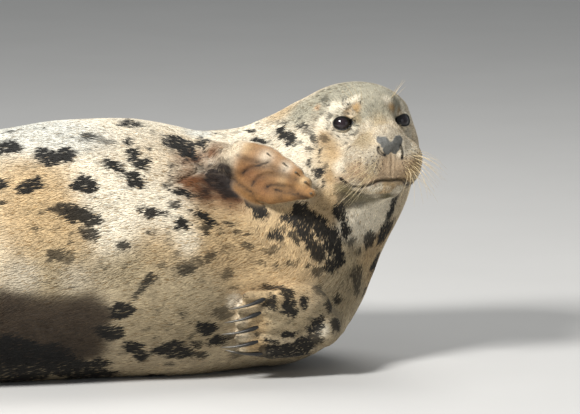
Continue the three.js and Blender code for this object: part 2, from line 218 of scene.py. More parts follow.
def near_only(form, middle, reach):
    """The form, worked out only near its own part of the body; elsewhere a distance that never wins."""
    def local(p):
        away = np.linalg.norm(p - middle, axis=1)
        d = away - reach * 0.5
        close = away < reach
        if close.any():
            d[close] = form(p[close])
        return d
    return local


def trunk_measure(x, key):
    xs = TRUNK[:, 0]
    i = np.clip(np.searchsorted(xs, x, side="right"), 1, len(xs) - 1)
    a, b = i - 1, i
    before, after = np.maximum(a - 1, 0), np.minimum(b + 1, len(xs) - 1)
    span = xs[b] - xs[a]
    values = TRUNK[:, key]
    slope_a = (values[b] - values[before]) / (xs[b] - xs[before]) * span
    slope_b = (values[after] - values[a]) / (xs[after] - xs[a]) * span
    t = (x - xs[a]) / span
    return ((2 * t ** 3 - 3 * t ** 2 + 1) * values[a] + (t ** 3 - 2 * t ** 2 + t) * slope_a
            + (3 * t ** 2 - 2 * t ** 3) * values[b] + (t ** 3 - t ** 2) * slope_b)


def trunk_form(p):
    x = np.clip(p[:, 0], TRUNK[0, 0], TRUNK[-1, 0])
    across = (p[:, 1] - trunk_measure(x, 1)) / SECTION_DEPTH
    up = p[:, 2] - trunk_measure(x, 2)
    return np.sqrt(across ** 2 + up ** 2 + (p[:, 0] - x) ** 2) - trunk_measure(x, 3)


def turned(z_angle, x_angle):
    return np.array(Matrix.Rotation(z_angle, 3, "Z") @ Matrix.Rotation(x_angle, 3, "X"))


def turn_to(forward, back):
    x = unit(forward)
    z = unit(back - (back @ x) * x)
    return np.stack([x, np.cross(z, x), z], axis=1)


HEAD_TURN = turned(HEAD_YAW, -HEAD_PITCH)


def mirrored(place):
    return (-place[0], place[1], place[2])


def head_point(x, y, z):
    return HEAD_TURN @ vec(x, y, z) + HEAD_PLACE


skull_form = blend(SKULL_SOFTNESS, [egg(*e) for e in SKULL]
                   + [egg(place, radii) for middle, radii in SKULL_PAIRS for place in (middle, mirrored(middle))])
EYES = {}
for eye_name, side in (("left", 1), ("right", -1)):
    eye_turn = turned(side * EYE_OUTWARDS, -EYE_UPWARDS)
    eye_place = EYE_MIDDLE * (side, 1, 1)
    EYES[eye_name] = dict(side=side, turn=HEAD_TURN @ eye_turn, place=HEAD_TURN @ eye_place + HEAD_PLACE)

neck_form = blend(NECK_SOFTNESS, [trunk_form] + [egg(*e) for e in NECK_EGGS])
whole_form = blend(HEAD_TO_NECK_SOFTNESS, [neck_form, near_only(placed(skull_form, HEAD_TURN, HEAD_PLACE), HEAD_PLACE, 420)])
for eye in EYES.values():
    middle = eye["place"] + eye["turn"] @ vec(0, -(EYE_RADIUS - EYE_PROUD + ORBIT_RADII[1]), 0)
    whole_form = carve(whole_form, placed(egg((0, 0, 0), ORBIT_RADII), eye["turn"], middle), ORBIT_SOFTNESS)
body_form = on_floor(whole_form)


def digit_form(digit, radii):
    root, knuckle, tip = digit
    return blend(6, [limb(root, knuckle, radii[0], radii[1]), limb(knuckle, tip, radii[1], radii[2])])


def web_form(one, other, radii, flatness, set_back):
    root, knuckle, tip = (np.add(a, b) / 2 for a, b in zip(one, other))
    end = tip - unit(tip - knuckle) * set_back
    return blend(6, [webbing(root, knuckle, radii[0], radii[1], flatness),
                     webbing(knuckle, end, radii[1], radii[1], flatness)])


LIMBS = []
for side_name, f in FORE_FLIPPERS.items():
    turn = turn_to(f["forward"], f["back"])
    LIMBS.append(dict(
        name="fore_" + side_name, turn=turn, place=f["wrist"], digits=f["digits"], radii=FORE_DIGIT_RADII,
        forms=[limb(*f["forearm"]), egg(*f["palm"]), egg(*f["web"])], web=FORE_WEB, softness=8,
        claw={**FORE_CLAW, **f["claw"]}, reach=330))
for side_name, f in HIND_FLIPPERS.items():
    turn = turn_to(f["forward"], f["back"])
    digits = [((0, f["side"] * k[1] / 3, 0), (k[0], f["side"] * k[1], f["lift"] / 2), (t[0], f["side"] * t[1], f["lift"]))
              for k, t in TOES]
    LIMBS.append(dict(
        name="hind_" + side_name, turn=turn, place=f["ankle"], digits=digits, radii=HIND_DIGIT_RADII,
        forms=[limb((-40, 0, 0), (30, 0, 0), 30, 25), egg((62, 0, 0), (70, 42, 18))], web=HIND_WEB, softness=8,
        claw=HIND_CLAW, reach=380))
for part in LIMBS:
    webs = [web_form(a, b, **part["web"]) for a, b in zip(part["digits"], part["digits"][1:])]
    fingers = [digit_form(d, part["radii"]) for d in part["digits"]]
    hand = blend(part["softness"], part["forms"] + webs + fingers)
    part["form"] = near_only(on_floor(placed(hand, part["turn"], part["place"]), 4), part["place"], part["reach"])
tail_form = near_only(webbing(*TAIL), (TAIL[0] + TAIL[1]) / 2, 260)
flesh_form = blend(16, [body_form] + [part["form"] for part in LIMBS] + [tail_form])


def slope_of(form, p, step=0.4):
    """The form's value at each point and the direction in which it grows."""
    d = form(p)
    gradient = np.empty_like(p)
    for axis in range(3):
        moved = p.copy()
        moved[:, axis] += step
        gradient[:, axis] = (form(moved) - d) / step
    return d, gradient


def settle(form, p, depth, rounds=4, most=6.0):
    """Moves points along the form's slope until they lie at their depth under its surface."""
    for _ in range(rounds):
        d, gradient = slope_of(form, p)
        step = (d + depth)[:, None] * gradient / np.maximum((gradient ** 2).sum(1), 0.05)[:, None]
        length = np.linalg.norm(step, axis=1, keepdims=True)
        p = p - step * np.minimum(1.0, most / np.maximum(length, 1e-9))
    return p


# ---------------------------------------------------------------- camera, floor and light
VIEW_TARGET = Vector((0.1665, 0.0, 0.3005))
VIEW_ELEVATION = math.radians(9)
VIEW_DISTANCE = 8.0
FOCAL_PIXELS = 4324.0
PHOTO = (580, 414)
SIGHT = vec(0, math.cos(VIEW_ELEVATION), -math.sin(VIEW_ELEVATION))
EYE_POINT = np.array(VIEW_TARGET) / MM - VIEW_DISTANCE / MM * SIGHT
SIGHT_UP = vec(0, math.sin(VIEW_ELEVATION), math.cos(VIEW_ELEVATION))


def in_view(p):
    """Where points in millimetres fall in the camera's frame, in pixels, and how far off they are."""
    q = p - EYE_POINT
    away = q @ SIGHT
    return PHOTO[0] / 2 + FOCAL_PIXELS * q[:, 0] / away, PHOTO[1] / 2 - FOCAL_PIXELS * (q @ SIGHT_UP) / away, away


def sight_line(u, v):
    """The direction from the camera through a pixel."""
    return unit(SIGHT + vec(1, 0, 0) * (u - PHOTO[0] / 2) / FOCAL_PIXELS - SIGHT_UP * (v - PHOTO[1] / 2) / FOCAL_PIXELS)


# ---------------------------------------------------------------- mesh helpers
def mesh_points(mesh):
    p = np.empty(len(mesh.vertices) * 3)
    mesh.vertices.foreach_get("co", p)
    return p.reshape(-1, 3) / MM


def set_points(mesh, p):
    mesh.vertices.foreach_set("co", (p * MM).ravel())
    mesh.update()


def mesh_normals(mesh):
    n = np.empty(len(mesh.vertices) * 3)
    mesh.vertices.foreach_get("normal", n)
    return n.reshape(-1, 3)


def new_object(name, mesh):
    made = bpy.data.objects.new(name, mesh)
    bpy.context.scene.collection.objects.link(made)
    return made


def finished(source):
    """The source's mesh with its modifiers applied."""
    depsgraph = bpy.context.evaluated_depsgraph_get()
    return bpy.data.meshes.new_from_object(source.evaluated_get(depsgraph))


def even_out(mesh, form, depth_of, rounds=2):
    """Spreads the vertices evenly and settles them on the form again."""
    work = bmesh.new()
    work.from_mesh(mesh)
    for _ in range(rounds):
        bmesh.ops.smooth_vert(work, verts=work.verts, factor=0.5, use_axis_x=True, use_axis_y=True, use_axis_z=True)
        p = np.array([v.co for v in work.verts]) / MM
        p = settle(form, p, depth_of(p), rounds=2)
        for v, co in zip(work.verts, p * MM):
            v.co = co
    work.to_mesh(mesh)
    work.free()


# ---------------------------------------------------------------- the skin
FLESH = ["head", "neck", "chest", "belly", "rump", "tail", "fore_flipper_left", "fore_flipper_right",
         "hind_flipper_left", "hind_flipper_right"]
VOXEL = 0.0074


def head_frame(p):
    return (p - HEAD_PLACE) @ HEAD_TURN


def coat_depth(p):
    """How deep the skin lies under the coat: least on the face and the flippers."""
    h = head_frame(p)
    from_nose = np.linalg.norm(h - vec(0, -60, -60), axis=1)
    depth = 1.0 + 1.0 * smoothstep(90, 260, from_nose)
    for part in LIMBS:
        q = (p - part["place"]) @ part["turn"]
        on_hand = smoothstep(-60, 20, q[:, 0]) * (1 - smoothstep(90, 130, np.abs(q[:, 1]))) * (
            1 - smoothstep(40, 80, np.abs(q[:, 2])))
        depth = depth - (depth - 0.7) * on_hand
    return depth


def first_skin():
    """The flesh nodes and the digits and eyeballs that fill their slots, grown together as one closed surface."""
    source = bmesh.new()
    for name in FLESH + ["eye_left", "eye_right"]:
        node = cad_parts[name]
        piece = node.data.copy()
        piece.transform(node.matrix_world)
        source.from_mesh(piece)
        bpy.data.meshes.remove(piece)
    bmesh.ops.remove_doubles(source, verts=source.verts, dist=1e-6)
    source.normal_update()
    for v in source.verts:
        v.co += v.normal * 0.0006
    for part in LIMBS:
        for root, knuckle, tip in part["digits"]:
            a, b, c = part["radii"]
            for t in np.linspace(0.3, 2.0, 22):
                start, end = (root, knuckle) if t < 1 else (knuckle, tip)
                share = t if t < 1 else t - 1
                radius = (a + (b - a) * share) if t < 1 else (b + (c - b) * share)
                place = part["turn"] @ (np.array(start) + share * np.subtract(end, start)) + part["place"]
                place[2] = max(place[2], radius * 0.9)
                bmesh.ops.create_icosphere(source, subdivisions=2, radius=radius * 0.97 * MM,
                                           matrix=Matrix.Translation(Vector(place * MM)))
    mesh = bpy.data.meshes.new("skin_source")
    source.to_mesh(mesh)
    source.free()
    holder = new_object("skin_source", mesh)
    remesh = holder.modifiers.new("grow", "REMESH")
    remesh.mode = "VOXEL"
    remesh.voxel_size = VOXEL
    remesh.adaptivity = 0.0
    skin = finished(holder)
    bpy.data.objects.remove(holder)
    return skin


def refine(mesh, wanted):
    """Halves the edges of the faces where a detail needs it."""
    work = bmesh.new()
    work.from_mesh(mesh)
    p = np.array([v.co for v in work.verts]) / MM
    chosen = wanted(p)
    faces = {face for face in work.faces if all(chosen[v.index] for v in face.verts)}
    edges = [e for e in work.edges if any(face in faces for face in e.link_faces)]
    bmesh.ops.subdivide_edges(work, edges=edges, cuts=1, use_grid_fill=True)
    work.to_mesh(mesh)
    work.free()


def on_head(p):
    h = head_frame(p)
    return (np.linalg.norm((h - vec(0, 0, -45)) / vec(1.0, 1.1, 1.0), axis=1) < 104) & (h[:, 1] < 60)


def on_face(p):
    h = head_frame(p)
    muzzle = np.linalg.norm((h - vec(0, -52, -78)) / vec(62, 48, 60), axis=1) < 1
    eyes = np.zeros(len(p), bool)
    for eye in EYES.values():
        q = (p - eye["place"]) @ eye["turn"]
        eyes |= (np.linalg.norm(q[:, [0, 2]], axis=1) < 28) & (q[:, 1] < 6) & (q[:, 1] > -45)
    return muzzle | eyes


def on_nose(p):
    h = head_frame(p)
    return (np.abs(h[:, 0]) < 31) & (h[:, 1] < -66) & (h[:, 2] > -72) & (h[:, 2] < -24)


def on_fore_flippers(p):
    near = np.zeros(len(p), bool)
    for part in LIMBS[:2]:
        q = (p - part["place"]) @ part["turn"]
        near |= (q[:, 0] > 0) & (q[:, 0] < 190) & (np.abs(q[:, 1]) < 110) & (np.abs(q[:, 2] + 4) < 30)
    return near


skin = first_skin()
p = mesh_points(skin)
p = settle(flesh_form, p, coat_depth(p), rounds=6)
set_points(skin, p)
even_out(skin, flesh_form, coat_depth, rounds=2)
for region in (lambda q: on_head(q) | on_fore_flippers(q), on_face, on_nose):
    refine(skin, region)
    p = mesh_points(skin)
    set_points(skin, settle(flesh_form, p, coat_depth(p), rounds=3))
even_out(skin, flesh_form, coat_depth, rounds=1)


# ---------------------------------------------------------------- lids, nose, mouth and folds
def tree_of(mesh):
    return BVHTree.FromPolygons([v.co for v in mesh.vertices], [tuple(f.vertices) for f in mesh.polygons])


plain_tree = tree_of(skin)


def seen_at(u, v):
    """The point of the skin under a pixel of the camera's frame."""
    found = plain_tree.ray_cast(Vector(EYE_POINT * MM), Vector(sight_line(u, v)))[0]
    return None if found is None else np.array(found) / MM


def seen_line(points, step=2.0):
    """A line of pixels laid on the skin, with a point every few pixels."""
    laid = []
    for (u0, v0), (u1, v1) in zip(points, points[1:]):
        count = max(int(math.hypot(u1 - u0, v1 - v0) / step), 1)
        for t in np.linspace(0, 1, count, endpoint=False):
            laid.append(seen_at(u0 + t * (u1 - u0), v0 + t * (v1 - v0)))
    laid.append(seen_at(*points[-1]))
    laid = [q for q in laid if q is not None]
    kept = laid[:1]
    for q in laid[1:]:
        if np.linalg.norm(q - kept[-1]) < 16:
            kept.append(q)
    return np.array(kept)


def face_line(points, step=3.0):
    """A line given across the head, from the front, laid on the skin of the face."""
    laid = []
    for (x0, z0), (x1, z1) in zip(points, points[1:]):
        count = max(int(math.hypot(x1 - x0, z1 - z0) / step), 1)
        for t in np.linspace(0, 1, count, endpoint=(x1, z1) == points[-1]):
            start = head_point(x0 + t * (x1 - x0), -300, z0 + t * (z1 - z0))
            found = plain_tree.ray_cast(Vector(start * MM), Vector(HEAD_TURN @ vec(0, 1, 0)))[0]
            if found is not None:
                laid.append(np.array(found) / MM)
    return np.array(laid)


def distance_to(p, line, reach=60.0):
    """How far each point is from a laid line, and where along it the nearest point is, from 0 to 1."""
    d, where = np.full(len(p), reach), np.zeros(len(p))
    low, high = line.min(0) - reach, line.max(0) + reach
    near = np.where(((p > low) & (p < high)).all(1))[0]
    if len(line) == 1:
        d[near] = np.linalg.norm(p[near] - line[0], axis=1)
        return d, where
    for i, (a, b) in enumerate(zip(line, line[1:])):
        along = b - a
        t = np.clip((p[near] - a) @ along / max(along @ along, 1e-9), 0, 1)
        away = np.linalg.norm(p[near] - a - t[:, None] * along, axis=1)
        closer = away < d[near]
        d[near[closer]] = away[closer]
        where[near[closer]] = (i + t[closer]) / (len(line) - 1)
    return d, where


def both_sides(points):
    """A line across the face from its right end to the middle, carried on to the left end."""
    return points + [(-x, z) for x, z in reversed(points)]


# Folds: the line in pixels, half width and depth in millimetres; a negative depth is a ridge.
PALM_FOLDS = [
    ([(232, 151), (240, 157), (248, 159.6), (256, 162), (265, 164), (268.7, 162)], 2.6, 2.6),
    ([(243, 173), (247, 170), (253, 166.7), (261, 165.7), (271, 167.3), (277, 170), (283.5, 170.4)], 2.6, 2.6),
    ([(252, 185), (253.5, 182), (259, 177), (267, 174), (276, 174), (288, 176), (291.5, 180.5), (296, 179)], 2.4, 2.4),
    ([(267, 187), (271, 184.7), (280, 185), (288, 187.3), (298, 194)], 2.4, 1.8),
    ([(232, 177), (237, 182.7), (245, 188), (253, 193.3)], 3.0, 1.6),
    ([(275, 190), (286, 192), (300, 197), (311, 199)], 2.4, 1.2),
    ([(213, 163), (219, 160), (225, 161), (231, 165)], 3.0, 2.4),
]
ARMPIT_FOLDS = [
    ([(173, 185.5), (184, 178.7), (195, 174), (204, 169.3), (213, 164)], 5.0, 6.0),
    ([(206, 175), (213, 170), (222, 173), (231, 183)], 5.0, 4.5),
    ([(204, 137), (205.5, 147), (202.7, 157), (200, 165), (201.5, 171)], 4.0, 3.0),
    ([(196, 151), (194.7, 159), (198.7, 169)], 3.6, 2.4),
    ([(187, 159), (184, 165), (180, 173)], 3.6, 2.4),
    ([(175, 164), (172, 173), (175, 183)], 3.6, 2.0),
    ([(211, 141), (212, 150), (209, 158)], 3.6, 2.0),
]
NECK_FOLDS = [
    ([(304, 208), (316, 216), (328, 228), (340, 244), (346, 256)], 6.0, 3.0),
    ([(318, 204), (332, 212), (346, 226), (356, 242)], 6.0, 2.6),
    ([(338, 200), (352, 214), (366, 230), (374, 242)], 5.0, 2.0),
    ([(364, 240), (372, 246), (380, 250)], 5.0, 2.0),
    ([(150, 128), (168, 136), (176, 152)], 7.0, 2.0),
]
HAND_FOLDS = [
    ([(258.6, 314.3), (263, 315.5), (270, 319)], 1.8, 1.6),
    ([(257, 325.7), (262, 326.5), (269, 329)], 1.8, 1.6),
    ([(254, 331.4), (264, 333), (273, 335.5)], 1.8, 1.6),
    ([(248.6, 335.7), (258.6, 340), (268, 342)], 1.8, 1.6),
    ([(247, 338.6), (257, 344.3), (266, 347)], 1.8, 1.6),
    ([(238, 307.5), (250, 305.5), (262, 303)], 1.8, 1.6),
]
MOUTH = both_sides([(-78, -99), (-68, -108), (-58, -114), (-46, -114), (-36, -110), (-27, -103), (-14, -101), (0, -102)])
CHIN_FOLD = both_sides([(-58, -124), (-44, -129), (-28, -131), (-12, -129), (0, -128)])
MUZZLE_EDGE = [(23, -8), (34, -24), (46, -46), (58, -66), (68, -86)]
NOSTRILS = {
    "right": [(-24.5, -41), (-24, -47), (-20, -52.5), (-13, -55.5)],
    "left": [(17.5, -40), (21, -46), (22.5, -53), (20.5, -62)],
}
EARS = [(-87, 49, 27.6), (87, 49, 27.6)]

# The slit of each eye: half width and half height as angles on the ball, with a corner drawn towards the nose.
LID_WIDE = math.radians(46)
LID_HIGH = {-1: math.radians(32), 1: math.radians(26.5)}
LID_CORNER = math.radians(12)


def lid_angle(eye, around, corner=1.0):
    """How far from the middle of the ball the lid's edge lies, in each direction around it."""
    shape = 1 / np.sqrt((np.cos(around) / LID_WIDE) ** 2 + (np.sin(around) / LID_HIGH[eye["side"]]) ** 2)
    turned_by = np.angle(np.exp(1j * (around - math.radians(8))))
    return shape + corner * LID_CORNER * np.exp(-(turned_by / 0.34) ** 2)


def eye_frame(eye, p):
    """Points in an eye's own frame: towards the nose, outwards and up."""
    q = (p - eye["place"]) @ eye["turn"]
    return np.stack([-eye["side"] * q[:, 0], -q[:, 1], q[:, 2]], axis=1)


def from_eye(eye, around, angle, radius):
    """The point at an angle from the eye's axis, in the direction around it, and at a radius."""
    q = vec(-eye["side"] * math.sin(angle) * math.cos(around), -math.cos(angle), math.sin(angle) * math.sin(around))
    return eye["turn"] @ q * radius + eye["place"]


LID_RINGS = [
    # share of the way from the slit's edge to the hole's edge, share of the corner, height over the ball, and how
    # much the ring keeps to the face's own surface
    (0.76, 0.25, 3.2, 0.75),
    (0.54, 0.6, 3.0, 0.40),
    (0.35, 0.85, 2.6, 0.12),
    (0.19, 1, 2.0, 0.0),
    (0.06, 1, 1.3, 0.0),
    (-0.03, 1, 0.5, 0.0),
    (-0.03, 1, -1.6, 0.0),
]
LID_REACH = math.radians(16)


def rim_in_order(work, eye):
    """The vertices round the hole over an eye, in order, once its pinched corners are gone."""
    while True:
        rim = [e for e in work.edges if e.is_boundary
               and np.linalg.norm(np.array(e.verts[0].co) / MM - eye["place"]) < 60]
        nexts = {}
        for e in rim:
            for one, other in (e.verts, reversed(e.verts)):
                nexts.setdefault(one, []).append(other)
        pinched = [v for v, others in nexts.items() if len(others) > 2]
        if not pinched:
            break
        bmesh.ops.delete(work, geom=pinched, context="VERTS")
    loops, left = [], dict.fromkeys(nexts)
    while left:
        loop = [next(iter(left))]
        loop.append(nexts[loop[0]][0])
        while True:
            onward = [v for v in nexts[loop[-1]] if v is not loop[-2]][0]
            if onward is loop[0]:
                break
            loop.append(onward)
        left = {v: None for v in left if v not in set(loop)}
        loops.append(loop)
    return max(loops, key=len)


def on_face_surface(eye, around, angle, radius, kept):
    """The point in a direction from an eye, drawn from the given radius towards the face's own surface."""
    way = from_eye(eye, around, angle, 1.0) - eye["place"]
    found = plain_tree.ray_cast(Vector((eye["place"] + way * 8) * MM), Vector(way))[0] if kept else None
    if found is not None:
        own = np.linalg.norm(np.array(found) / MM - eye["place"])
        radius += kept * (max(own, EYE_RADIUS + 0.5) - radius)
    return Vector((eye["place"] + way * radius) * MM)


def add_lids(mesh):
    """Opens the skin over each eye and rolls its edge down to the ball in rings."""
    work = bmesh.new()
    work.from_mesh(mesh)
    for eye in EYES.values():
        q = eye_frame(eye, np.array([v.co for v in work.verts]) / MM)
        distance = np.linalg.norm(q, axis=1)
        angle = np.arccos(np.clip(q[:, 1] / distance, -1, 1))
        inside = (distance < 29.5) & (angle < lid_angle(eye, np.arctan2(q[:, 2], q[:, 0]), 0) + LID_REACH)
        doomed = [v for v, gone in zip(work.verts, inside) if gone]
        bmesh.ops.delete(work, geom=doomed, context="VERTS")
        loop = rim_in_order(work, eye)
        q = eye_frame(eye, np.array([v.co for v in loop]) / MM)
        around = np.unwrap(np.arctan2(q[:, 2], q[:, 0]))
        way_round = 1 if around[-1] > around[0] else -1
        steps = np.diff(np.append((around - around[0]) * way_round, 2 * math.pi))
        distance = np.linalg.norm(q, axis=1)
        edge = np.arccos(np.clip(q[:, 1] / distance, -1, 1)) - lid_angle(eye, around, 0)
        edge = np.clip(edge, math.radians(6), LID_REACH)
        for _ in range(6):
            steps = (np.roll(steps, 1) + steps + np.roll(steps, -1)) / 3
            edge = (np.roll(edge, 1) + edge + np.roll(edge, -1)) / 3
        steps = np.maximum(steps, 0.004)
        around = around[0] + way_round * np.concatenate([[0], np.cumsum(steps)[:-1]]) / steps.sum() * 2 * math.pi
        for v, a, reach in zip(loop, around, edge):
            v.co = on_face_surface(eye, a, float(lid_angle(eye, a, 0)) + reach, EYE_RADIUS + 3, 1.0)
        for share, corner, height, kept in LID_RINGS:
            edges = [work.edges.get((one, other)) for one, other in zip(loop, loop[1:] + loop[:1])]
            made = bmesh.ops.extrude_edge_only(work, edges=edges)["geom"]
            fresh = {v for v in made if isinstance(v, bmesh.types.BMVert)}
            loop = [next(e.other_vert(v) for e in v.link_edges if e.other_vert(v) in fresh) for v in loop]
            for v, a, reach in zip(loop, around, edge):
                slit, hole = float(lid_angle(eye, a, corner)), float(lid_angle(eye, a, 0)) + reach
                v.co = on_face_surface(eye, a, slit + share * max(hole - slit, 0.12), EYE_RADIUS + height, kept)
    # The long faces between the rings and the nose are cut short, so no colour is drawn out along them.
    for _ in range(2):
        stretched = [e for e in work.edges if e.calc_length() > 0.003 and any(
            np.linalg.norm(np.array(e.verts[0].co) / MM - eye["place"]) < 48 for eye in EYES.values())]
        bmesh.ops.subdivide_edges(work, edges=stretched, cuts=1)
        bmesh.ops.triangulate(work, faces=[f for f in work.faces if len(f.verts) > 4])
    bmesh.ops.recalc_face_normals(work, faces=work.faces)
    work.to_mesh(mesh)
    work.free()


def clear_the_balls(q):
    """Moves the points of the skin round each eye out until they clear the ball."""
    for eye in EYES.values():
        local = eye_frame(eye, q)
        distance = np.linalg.norm(local, axis=1)
        angle = np.arccos(np.clip(local[:, 1] / distance, -1, 1))
        past = np.degrees(angle - lid_angle(eye, np.arctan2(local[:, 2], local[:, 0])))
        spare = (distance - EYE_RADIUS - 1.0) / 0.8
        wanted = EYE_RADIUS + 1.0 + 0.8 * np.where(spare > 8, spare, np.log1p(np.exp(np.minimum(spare, 8))))
        share = smoothstep(2, 6, past) * (distance > EYE_RADIUS - 8) * (distance < EYE_RADIUS + 6) * (angle < 1.9)
        q = q + (q - eye["place"]) / distance[:, None] * ((wanted - distance) * share)[:, None]
    return q


add_lids(skin)
p = clear_the_balls(mesh_points(skin))
n = mesh_normals(skin)
h = head_frame(p)
lift = np.zeros(len(p))


def press(line, width, depth, lip=0.0):
    """Presses a groove into the skin along a line, with a raised lip on each side."""
    d, where = distance_to(p, line, width * 6)
    ends = smoothstep(0, 0.12, where) * smoothstep(0, 0.12, 1 - where)
    lift[:] -= depth * np.exp(-(d / width) ** 2) * (0.25 + 0.75 * ends)
    lift[:] += lip * np.exp(-((d - 2.1 * width) / width) ** 2) * ends


def swell(middle, radii, height):
    """Raises a soft mound on the head."""
    away = np.linalg.norm((h - np.array(middle)) / np.array(radii), axis=1)
    lift[:] += height * np.exp(-away ** 2 * 2)


fold_lines = {}
for name, folds, lip in (("palm", PALM_FOLDS, 0.35), ("armpit", ARMPIT_FOLDS, 0.5), ("neck", NECK_FOLDS, 0.45),
                         ("hand", HAND_FOLDS, 0.3)):
    fold_lines[name] = [seen_line(points) for points, _, _ in folds]
    for line, (_, width, depth) in zip(fold_lines[name], folds):
        press(line, width, depth, depth * lip)
# The upper arm fills out where it leaves the shoulder.
for place, radius, height in ((seen_at(222, 149), 30, 11), (seen_at(206, 146), 26, 7)):
    lift += height * np.exp(-(np.linalg.norm(p - place, axis=1) / radius) ** 2 * 1.6)
mouth_line = face_line(MOUTH)
chin_line = face_line(CHIN_FOLD)
nostril_lines = [face_line(points) for points in NOSTRILS.values()]
press(mouth_line, 2.7, 5.2, 0.9)
press(chin_line, 3.0, 2.4, 0.6)
for side in (1, -1):
    press(face_line([(side * x, z) for x, z in MUZZLE_EDGE]), 9.0, 1.6, 0.2)
    swell((side * 33, -10, 42), (16, 22, 12), 2.2)
    swell((side * 38, -78, -66), (22, 18, 20), 2.6)
    swell((side * 16, -86, -58), (9, 12, 9), 1.4)
    press(face_line([(side * 7, 26), (side * 9, 12), (side * 7, -4)]), 3.4, 0.9, 0.2)
press(face_line([(0, -53), (1, -66), (-1, -82), (0, -97)]), 2.2, 0.9, 0.3)
swell((0, -80, -113), (26, 16, 8), 3.4)
swell((0, -92, -38), (22, 14, 16), 1.6)
for line in nostril_lines:
    press(line, 2.1, 4.2, 0.9)
for ear in EARS:
    away = np.linalg.norm(h - np.array(ear), axis=1)
    lift -= 3.4 * np.exp(-(away / 3.4) ** 2) - 1.0 * np.exp(-((away - 7) / 3.4) ** 2)

# Loose skin ripples: long low waves over the blubber, deeper where the neck bends.
def value_noise(q, seed):
    """Smooth noise between -1 and 1 on a lattice of unit cells."""
    table = np.random.default_rng(seed).uniform(-1, 1, 4096)
    cell = np.floor(q).astype(np.int64)
    f = q - cell
    f = f * f * (3 - 2 * f)
    total = np.zeros(len(q))
    for corner in range(8):
        offset = np.array([corner & 1, (corner >> 1) & 1, (corner >> 2) & 1])
        c = cell + offset
        key = ((c[:, 0] * 73856093) ^ (c[:, 1] * 19349663) ^ (c[:, 2] * 83492791)) & 4095
        weight = np.prod(np.where(offset, f, 1 - f), axis=1)
        total += weight * table[key]
    return total


on_trunk = smoothstep(90, 200, np.linalg.norm(h, axis=1))
lift += on_trunk * (1.6 * value_noise(p / vec(90, 70, 70), 5) + 0.7 * value_noise(p / vec(30, 26, 26), 6))
neck_share = smoothstep(60, 160, p[:, 0]) * on_trunk
lift += neck_share * 0.9 * value_noise(((p - vec(200, 0, 330)) @ vec(0.62, 0, -0.78))[:, None] * vec(1, 0, 0) / 15
                                       + p / 80, 8)
# The lift fades out near the floor, and the lids' own rings stay as they are.
for eye in EYES.values():
    q = eye_frame(eye, p)
    distance = np.linalg.norm(q, axis=1)
    angle = np.arccos(np.clip(q[:, 1] / distance, -1, 1))
    past = angle - lid_angle(eye, np.arctan2(q[:, 2], q[:, 0]))
    lift *= 1 - (distance < 36) * (1 - smoothstep(math.radians(12), math.radians(22), past))
lift *= smoothstep(0.5, 12, p[:, 2]) * (p[:, 2] < 12) + (p[:, 2] >= 12)
p = p + n * lift[:, None]
p[:, 2] = np.maximum(p[:, 2], 0.4)
set_points(skin, p)
for face in skin.polygons:
    face.use_smooth = True
skin_object = new_object("skin", skin)


